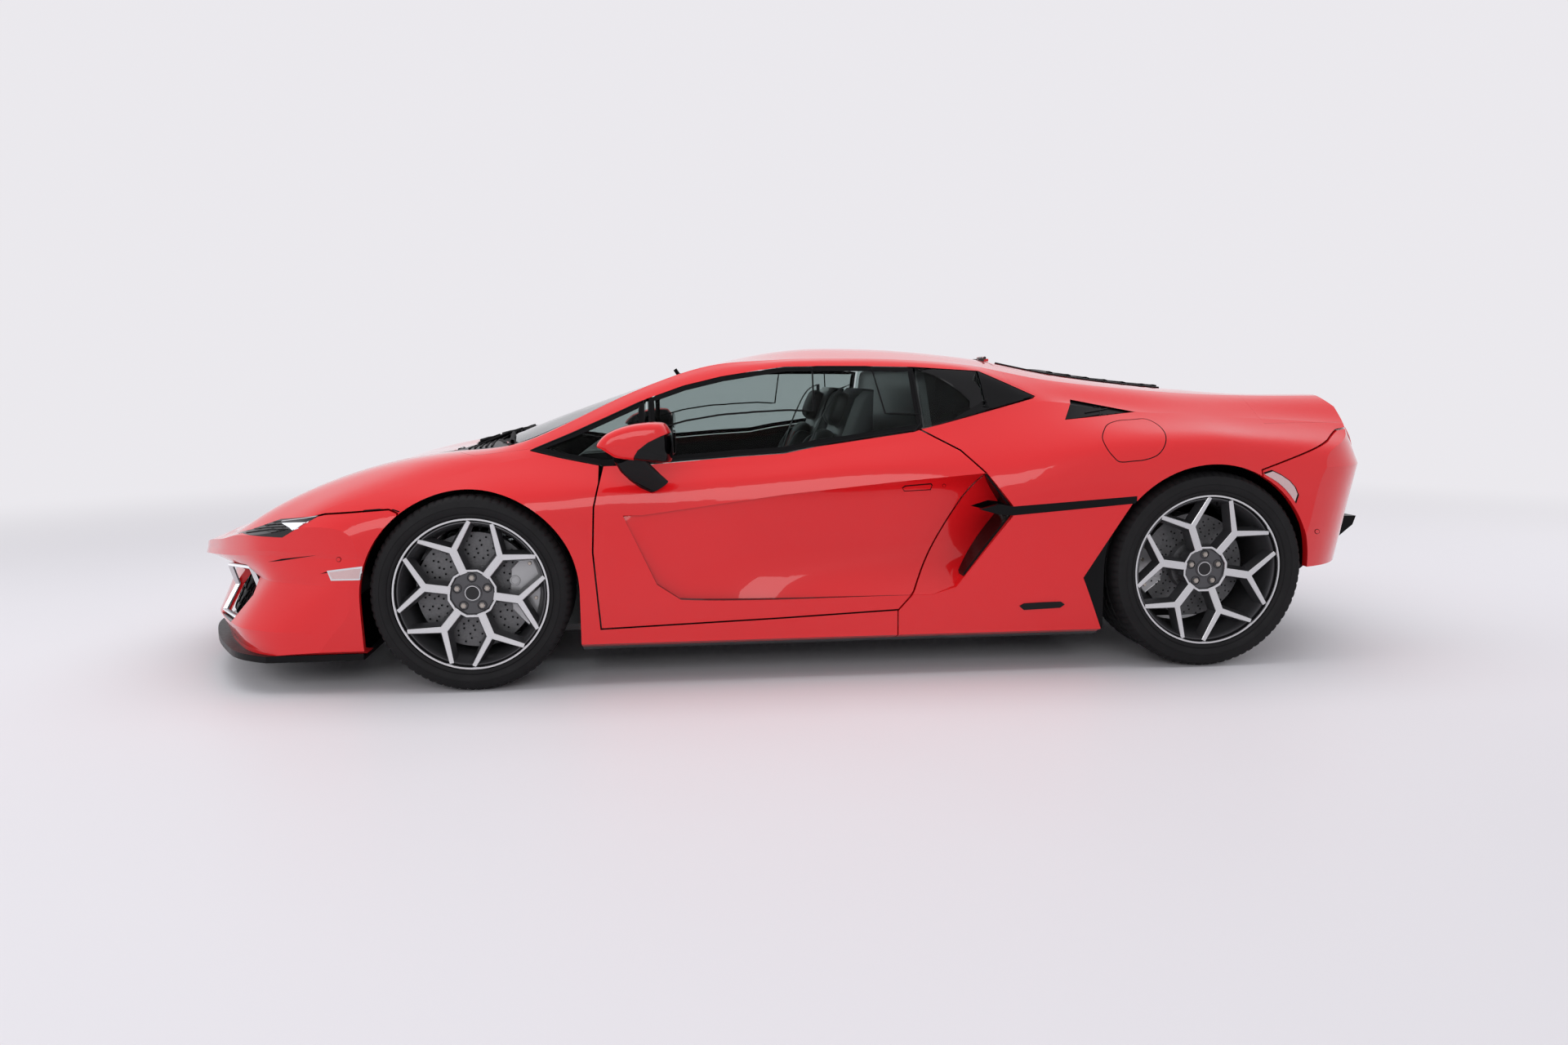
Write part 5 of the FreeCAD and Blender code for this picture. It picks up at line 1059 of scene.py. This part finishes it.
lamp_outline = end_places([(.5, .7), (.55, .665), (.74, .66), (.8, .7), (.76, .728), (.54, .73)])
lamp_lay = Lay(skin_of("tail_lamps"), (-1, 0, 0))
tail_skin = Lay(skin_of("rear_bumper", "rear_quarters", "rear_spoiler", "tail_lamps"), (-1, 0, 0))
tail_light = Piece()
lamp_middle = Vector((0, sum(p[0] for p in lamp_outline) / 6, sum(p[1] for p in lamp_outline) / 6))
dense = evenly([(0, y, z) for y, z in lamp_outline], .012, True)
patch(tail_light, [lamp_middle + (p - lamp_middle) * .93 for p in dense], .002, lamp_black, lamp_lay)
for share, wide, rise, finish in ((.82, .008, .0045, red_glow), (.35, .005, .0038, red_lens),
                                  (.55, .005, .0038, red_lens)):
    ribbon(tail_light, [lamp_middle + (p - lamp_middle) * share for p in dense], wide, rise, finish, lamp_lay,
           closed=True)
both("detail_tail_lights", tail_light, "chassis")

tail_mouth = end_places([(.14, .53), (.2, .47), (.62, .46), (.68, .55), (.62, .62), (.2, .63)])
rear_grille_lay = Lay(skin_of("rear_grille"), (-1, 0, 0))
tail_mesh = Piece()
lattice(tail_mesh, rear_grille_lay, (.13, .545), (.7, .765), .04, .005, .004, trim, within(tail_mouth))
both("detail_tail_mesh", tail_mesh, "chassis", weld=0)
tail_ring = Piece()
ribbon(tail_ring, evenly([(0, y, z) for y, z in inward(tail_mouth, -.005)], .02, True), .012, .003, trim, tail_skin,
       closed=True)
both("detail_tail_frames", tail_ring, "chassis")

# Bare rear plate between the tail openings
plate = Piece()
plate_lay = Lay(skin_of("rear_bumper"), (-1, 0, 0))
plate_outline = evenly([(0, y, z) for y, z in ((-.125, .512), (.125, .512), (.125, .606), (-.125, .606))], .01, True)
patch(plate, plate_outline, .004, plate_white, plate_lay)
plate.make("detail_rear_plate", "chassis")

pipe_low, pipe_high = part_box("exhaust")
pipe_outline = end_places([(.055, .53), (.105, .6), (.055, .67), (-.055, .67), (-.105, .6), (-.055, .53)])
collar = Piece()
rings = []
for size, back in ((-.007, -.006), (-.007, .009), (-.005, .012), (.004, .012), (.006, .009), (.006, -.03), (.012, -.12),
                   (-.004, -.128), (-.007, -.006)):
    rings.append(divided([Vector((pipe_high.x + back, p.x, p.y)) for p in inward(pipe_outline, size)], 5))
collar.rings(rings, [steel, steel, steel, silver, steel, matt_black_and_shade, steel, steel])
back_wall = rings[-3]
collar.add(back_wall, [list(range(len(back_wall)))], matt_black_and_shade)
pipe_x, pipe_z = pipe_high.x - .045, (pipe_low.z + pipe_high.z) / 2
for y in (-.036, .036):
    pipe = [[(pipe_x + back, y + radius * math.cos(t), pipe_z + radius * math.sin(t)) for t in turns(28)]
            for radius, back in ((.03, -.02), (.03, .02), (.027, .022), (.0235, .02), (.0235, -.02))]
    collar.rings(pipe, steel)
collar.make("detail_exhaust_collar", "chassis", replace=("exhaust",))

cover_lay = Lay(skin_of("engine_cover", "rear_quarters"), (0, 0, -1))
blades = Piece()
for at in (.86, .89, .92, .95, .98, 1.04, 1.1):
    x = station(at) - .012
    ribbon(blades, straight((x, -.296, 0), (x, .296, 0), 16), .03, .011, gloss, cover_lay, sunk=.001, crown=.002)
for side in (-1, 1):
    path = smoothly([(.9, side * .31, 0), (1.1, side * .33, 0), (1.4, side * .335, 0), (1.6, side * .332, 0)], 8)
    ribbon(blades, path, .012, .005, trim, cover_lay, crown=.001)
blades.make("detail_cover_blades", "engine_cover")

vents = Piece()
vent_lay = Lay(skin_of("vent_grilles"), (0, 1, 0))
for row in range(5):
    x, z = 1.0 + .05 * row, .90 + .02 * row
    path = [Vector((x + .03 * i, -1.0, z + .004 * i)) for i in range(5)]
    ribbon(vents, path, .004, .003, trim, vent_lay)
both("detail_deck_vent_ribs", vents, "chassis")

# Cabin: padded seats, belts, dashboard, console, steering wheel, inner mirror and the windscreen's edge

def pad(piece, centre, size, tilt, finish, square=.55, around=36, tall=20):
    """A crowned block, its sides drawn in between rounded corners, leaning back by a tilt about y."""
    lean = Matrix.Rotation(tilt, 3, "Y")
    rings = []
    for i in range(1, tall):
        rise = -math.pi / 2 + math.pi * i / tall
        out, up = bent(math.cos(rise), square), bent(math.sin(rise), square) * size[2]
        rings.append([Vector(centre) + lean @ Vector((out * x, out * y, up))
                      for x, y in rounded(around, size[0], size[1], square)])
    return piece.rings(rings, finish, ends=True)


PAD_VOXEL = .006
PAD_PRESSURE = 4.0
PAD_CAP = .009


def puffed(made):
    """The pad filled out by a short cloth run with the pressure inside, its moves held to a cap."""
    scene = bpy.context.scene
    remesh = made.modifiers.new("voxels", "REMESH")
    remesh.mode = "VOXEL"
    remesh.voxel_size = PAD_VOXEL
    graph = bpy.context.evaluated_depsgraph_get()
    even = bpy.data.meshes.new_from_object(made.evaluated_get(graph))
    made.modifiers.remove(remesh)
    made.data = even
    rest = [vertex.co.copy() for vertex in even.vertices]
    cloth = made.modifiers.new("cloth", "CLOTH")
    cloth.settings.use_pressure = True
    cloth.settings.uniform_pressure_force = PAD_PRESSURE
    cloth.settings.effector_weights.gravity = 0
    cloth.settings.quality = 4
    for step in range(1, 21):
        scene.frame_set(step)
    graph = bpy.context.evaluated_depsgraph_get()
    swollen = bpy.data.meshes.new_from_object(made.evaluated_get(graph))
    ends = [vertex.co.copy() for vertex in swollen.vertices]
    made.modifiers.remove(cloth)
    for vertex, start, end in zip(even.vertices, rest, ends):
        move = end - start
        if move.length > PAD_CAP:
            move *= PAD_CAP / move.length
        vertex.co = start + move
    scene.frame_set(1)
    for face in even.polygons:
        face.use_smooth = True
    return made


SEAT_ACROSS = .37
SEAT_TILT = math.radians(-4)
BACK_TILT = math.radians(21.7)
shell_edge = [(-.335, .215), (-.34, .34), (-.2, .335), (-.03, .325), (.045, .43), (.16, .72), (.262, 1.0), (.3, 1.036),
              (.345, 1.03), (.34, .84), (.29, .6), (.24, .36), (.19, .215)]
for side, sign in (("left", -1), ("right", 1)):
    y = sign * SEAT_ACROSS
    shell = Piece().rings([[(p.x, y + across, p.y) for p in inward(shell_edge, size)] for across, size in
                           ((-.226, .03), (-.214, .006), (-.19, .0), (.19, .0), (.214, .006), (.226, .03))],
                          carbon, ends=True)
    shell.make("detail_seat_shell_" + side, "chassis", soft=40, replace=("seats",))
    pads = Piece()
    pad(pads, (-.165, y, .368), (.155, .135, .036), SEAT_TILT, leather)
    for across in (-.176, .176):
        pad(pads, (-.15, y + across, .392), (.15, .034, .056), SEAT_TILT, leather)
        pad(pads, (.105, y + across, .655), (.06, .036, .2), BACK_TILT, leather)
    pad(pads, (.107, y, .66), (.04, .135, .235), BACK_TILT, leather)
    pad(pads, (.228, y, .955), (.036, .105, .068), BACK_TILT, leather)
    cushions = pads.make("detail_seat_pads_" + side, "chassis", soft=60)
    puffed(cushions)
    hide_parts("seats")
    points = [vertex.co.copy() for vertex in cushions.data.vertices]
    pad_tree = BVHTree.FromPolygons(points, [list(face.vertices) for face in cushions.data.polygons])
    seams = Piece()
    back_lay = Lay(pad_tree, (1, 0, -.2))
    seat_lay = Lay(pad_tree, (0, 0, -1))
    for across in (-.07, 0, .07):
        ribbon(seams, straight((0, y + across, .5), (0, y + across, .86), 18), .005, .0012, stitch, back_lay, sunk=.001)
        ribbon(seams, straight((-.29, y + across, 1), (-.05, y + across, 1), 12), .005, .0012, stitch, seat_lay,
               sunk=.001)
    for z in (.56, .66, .76):
        ribbon(seams, straight((0, y - .11, z), (0, y + .11, z), 11), .004, .001, stitch, back_lay, sunk=.001)
    seams.make("detail_seat_stitching_" + side, "chassis", weld=0)
    belt = Piece()
    webbing_path = smoothly([(.36, y + sign * .12, .93), (.27, y + sign * .1, 1.0), (.2, y + sign * .085, .9),
                             (.12, y + sign * .03, .7), (.045, y - sign * .06, .5), (-.01, y - sign * .16, .42),
                             (.03, y - sign * .235, .33)], 6)
    rings_of = []
    for i, place in enumerate(webbing_path):
        after = webbing_path[min(i + 1, len(webbing_path) - 1)]
        before = webbing_path[max(i - 1, 0)]
        along = (after - before).normalized()
        across = Vector((0, 1, 0)) - along * along.y
        across.normalize()
        out = across.cross(along).normalized()
        if out.x > 0:
            out = -out
        place = place + out * .05
        rings_of.append([place + across * .023 - out * .001, place + across * .023 + out * .001,
                         place - across * .023 + out * .001, place - across * .023 - out * .001])
    belt.rings(rings_of, webbing, ends=True)
    belt.make("detail_belt_" + side, "chassis")

dash_lay = Lay(skin_of("dashboard"), (0, 0, -1))
dash = Piece()
for y0, y1 in ((-.66, -.02), (.02, .66)):
    dash.rings([[dash_lay.at(p, .0035)[0] for p in straight((row.x, y0, 0), (row.x, y1, 0), 14)]
                for row in straight((-.79, 0, 0), (-.54, 0, 0), 8)], suede, closed=False)
ribbon(dash, straight((-.545, -.66, 0), (-.545, .66, 0), 40), .004, .005, stitch, dash_lay)
dash.make("detail_dash_cover", "chassis", recalc=False)


def housing(piece, centre, size, tilt_back, finish, face_finish, rim=.006, depth=.02):
    """A rounded tablet, its face towards +x, leaning back."""
    lean = Matrix.Rotation(tilt_back, 3, "Y")
    corners = 40
    rings = []
    for grow, out in ((-.004, -depth), (0, -depth + .004), (0, -.002), (-.002, 0), (-rim, 0), (-rim - .001, -.0015)):
        rings.append([Vector(centre) + lean @ Vector((out, wide, tall))
                      for wide, tall in rounded(corners, size[0] + grow, size[1] + grow, .3)])
    piece.rings(rings, finish)
    piece.add(rings[-1], [list(range(corners))], face_finish)
    return piece.add(rings[0], [list(range(corners))[::-1]], finish)


screens = Piece()
housing(screens, (-.49, -.36, .80), (.13, .045), math.radians(-18), gloss, screen)
housing(screens, (-.47, 0, .73), (.07, .1), math.radians(-24), gloss, screen)
housing(screens, (-.49, .42, .77), (.12, .028), math.radians(-18), gloss, screen)
for y in (-.6, -.17, .17, .6):
    housing(screens, (-.482, y, .72), (.045, .024), math.radians(-12), trim, matt_black_and_shade)
    for row in range(4):
        x, z = -.476 - .002 * row, .707 + .009 * row
        screens.tube([(x, y - .036, z), (x, y + .036, z)], .0018, trim, 6)
screens.make("detail_dash_screens", "chassis", soft=40)

console = Piece()
tops = [(-.56, .62, .1), (-.47, .6, .1), (-.36, .47, .098), (-.1, .42, .095), (.12, .42, .095), (.3, .46, .095),
        (.35, .5, .095)]
lines = []
for x, z, half in tops:
    lines.append([Vector((x, -half, .14)), Vector((x, -half, z - .03)), Vector((x, -half + .012, z - .006)),
                  Vector((x, -half + .035, z)), Vector((x, half - .035, z)), Vector((x, half - .012, z - .006)),
                  Vector((x, half, z - .03)), Vector((x, half, .14))])
console.rings(lines, suede, closed=False, ends=True)
for x, z in ((-.28, .46), (-.2, .446), (-.12, .434)):
    housing(console, (x, 0, z), (.03, .012), math.radians(-80), trim, screen, rim=.003, depth=.008)
pad(console, (.12, 0, .432), (.13, .075, .02), 0, leather)
console.make("detail_console", "chassis", soft=45)

STEERING_CENTRE = Vector((-.431, -.37, .713))
STEERING_LEAN = Matrix.Rotation(math.radians(-22), 3, "Y")


def on_wheel(x, y, z):
    """A place given from the steering wheel's centre, along and across its column."""
    return STEERING_CENTRE + STEERING_LEAN @ Vector((x, y, z))


steering = Piece()
rim_path = [on_wheel(0, .178 * math.cos(turn), max(-.135, .176 * math.sin(turn))) for turn in turns(64)]
steering.tube(rim_path, .0158, leather, 14, closed=True)
for y0, z0, y1, z1 in ((.05, .0, .165, .02), (-.05, .0, -.165, .02), (.0, -.04, .0, -.13)):
    steering.tube([on_wheel(-.006, y0, z0), on_wheel(-.002, y1, z1)], [.017, .012], trim, 12)
steering.rings([[on_wheel(out, y, z) for y, z in rounded(32, .062 * size, .05 * size, .7)] for size, out in
                ((.4, -.05), (.95, -.02), (1, .0), (.93, .014), (.6, .02))], leather, ends=True)
for sign in (-1, 1):
    steering.rings([[on_wheel(x, sign * y, z) for y, z in ((.06, -.01), (.12, .0), (.14, .07), (.11, .08), (.085, .03))]
                    for x in (-.036, -.03)], trim, ends=True)
steering.tube([on_wheel(-.045, 0, 0), on_wheel(-.14, 0, 0)], [.032, .036], matt_black_and_shade, 20)
steering.make("detail_steering_wheel", "chassis", soft=50)

inner_mirror = Piece()
pad(inner_mirror, (-.395, 0, 1.075), (.012, .1, .028), math.radians(-10), matt_black_and_shade, .5, 32, 14)
face = [(-.381, y, 1.072 + z) for y, z in rounded(28, .092, .022, .5)]
inner_mirror.add(face, [list(range(28))], mirror_glass)
inner_mirror.tube([(-.4, 0, 1.09), (-.42, 0, 1.12)], .008, matt_black_and_shade, 8)
inner_mirror.make("detail_inner_mirror", "chassis", soft=40)

# Black edge of the windscreen
screen_half = [(.008, 0), (.0105, .2), (.014, .4), (.03, .58), (.046, .722), (.0715, .729), (.1257, .7), (.1768, .665),
               (.2287, .634), (.2814, .604), (.306, .585), (.316, .4), (.319, .2), (.32, 0)]
screen_edge = [(station(at), breadth * HALF_WIDTH) for at, breadth in screen_half]
screen_edge += [(x, -y) for x, y in reversed(screen_edge[1:-1])]
frit = Piece()
screen_lay = Lay(skin_of("windshield"), (0, 0, -1))
frit_path = evenly([(*p, 0) for p in inward(screen_edge, .014)], .02, True)
ribbon(frit, frit_path, .028, .0008, matt_black_and_shade, screen_lay, sunk=.0004, closed=True)
around_lay = Lay(skin_of("windshield", "roof", "cowl"), (0, 0, -1))
outer_path = [p for p in evenly([(*p, 0) for p in inward(screen_edge, -.0045)], .02, True) if p.x < station(.05)]
outer_path.sort(key=lambda p: math.atan2(p.y, -(p.x - station(.2))))
ribbon(frit, outer_path, .014, .0016, matt_black_and_shade, around_lay, sunk=.001)
frit.make("detail_screen_edge", "chassis", weld=0)

# Stage: a pale floor and soft light

BACKDROP = (.83, .815, .85)
floor_mesh = bpy.data.meshes.new("floor")
FLOOR_HALF = 80
corners = [(x * FLOOR_HALF, y * FLOOR_HALF, 0) for x, y in ((-1, -1), (1, -1), (1, 1), (-1, 1))]
floor_mesh.from_pydata(corners, [], [(0, 1, 2, 3)])
floor = bpy.data.objects.new("floor", floor_mesh)
bpy.context.scene.collection.objects.link(floor)
floor_finish = Finish("floor_pale", (.8, .785, .82), .5, Specular_IOR_Level=.3)
floor_finish.vary_roughness(1.5, .06)
away = floor_finish.node("ShaderNodeVectorMath", operation="LENGTH")
floor_finish.link(floor_finish.coordinates, away.inputs[0])
fade = floor_finish.node("ShaderNodeMapRange", interpolation_type="SMOOTHSTEP")
fade.inputs["From Min"].default_value = 3.2
fade.inputs["From Max"].default_value = 9
floor_finish.link(away.outputs["Value"], fade.inputs["Value"])
far_glow = floor_finish.node("ShaderNodeEmission")
far_glow.inputs["Color"].default_value = (*BACKDROP, 1)
into_backdrop = floor_finish.node("ShaderNodeMixShader")
floor_finish.link(fade.outputs["Result"], into_backdrop.inputs["Fac"])
floor_finish.link(floor_finish.shader.outputs[0], into_backdrop.inputs[1])
floor_finish.link(far_glow.outputs[0], into_backdrop.inputs[2])
surface_out = next(n for n in floor_finish.tree.nodes if n.type == "OUTPUT_MATERIAL")
floor_finish.link(into_backdrop.outputs[0], surface_out.inputs["Surface"])
floor_mesh.materials.append(floor_finish.material)


def softbox(name, place, target, width, depth, power, mirrored=True):
    light = bpy.data.lights.new(name, "AREA")
    light.shape = "RECTANGLE"
    light.size = width
    light.size_y = depth
    light.energy = power
    lamp = bpy.data.objects.new(name, light)
    lamp.location = place
    lamp.rotation_euler = (Vector(target) - Vector(place)).to_track_quat("-Z", "Y").to_euler()
    lamp.visible_camera = False
    lamp.visible_glossy = mirrored
    bpy.context.scene.collection.objects.link(lamp)


softbox("overhead", (0, -.2, 5.2), (0, 0, 0), 9.0, 4.5, 190, False)
softbox("camera_side", (-1.5, -7.0, 3.4), (0, 0, .5), 7.0, 2.6, 130)
softbox("nose_side", (-7.0, -1.0, 2.8), (0, 0, .5), 4.0, 2.4, 70, False)
softbox("tail_side", (7.0, 1.0, 2.8), (0, 0, .5), 4.0, 2.4, 60, False)
softbox("far_side", (1.0, 6.5, 3.4), (0, 0, .6), 7.0, 2.6, 100, False)

world = bpy.data.worlds.new("studio")
bpy.context.scene.world = world
world.use_nodes = True
sky = world.node_tree
for old in list(sky.nodes):
    sky.nodes.remove(old)
light_path = sky.nodes.new("ShaderNodeLightPath")
camera_or_glossy, shows_backdrop = sky.nodes.new("ShaderNodeMath"), sky.nodes.new("ShaderNodeMath")
for either_ray, socket, source in (
        (camera_or_glossy, 0, light_path.outputs["Is Camera Ray"]),
        (camera_or_glossy, 1, light_path.outputs["Is Glossy Ray"]),
        (shows_backdrop, 0, light_path.outputs["Is Transmission Ray"]),
        (shows_backdrop, 1, camera_or_glossy.outputs[0])):
    either_ray.operation = "MAXIMUM"
    sky.links.new(source, either_ray.inputs[socket])
backdrop = sky.nodes.new("ShaderNodeBackground")
backdrop.inputs["Color"].default_value = (*BACKDROP, 1)
backdrop.inputs["Strength"].default_value = 1
fill = sky.nodes.new("ShaderNodeBackground")
fill.inputs["Color"].default_value = (.95, .95, 1, 1)
fill.inputs["Strength"].default_value = .42
either = sky.nodes.new("ShaderNodeMixShader")
sky.links.new(shows_backdrop.outputs[0], either.inputs["Fac"])
sky.links.new(fill.outputs[0], either.inputs[1])
sky.links.new(backdrop.outputs[0], either.inputs[2])
sky_out = sky.nodes.new("ShaderNodeOutputWorld")
sky.links.new(either.outputs[0], sky_out.inputs["Surface"])
bpy.context.scene.view_settings.view_transform = "Standard"

# Camera

camera_data = bpy.data.cameras.new("camera")
camera_data.sensor_width = SENSOR_WIDTH
camera_data.lens = LENS
camera = bpy.data.objects.new("camera", camera_data)
bpy.context.scene.collection.objects.link(camera)
aim = Matrix((tilted_right, tilted_up, -forward)).transposed().to_4x4()
camera.matrix_world = Matrix.Translation(eye) @ aim
bpy.context.scene.camera = camera
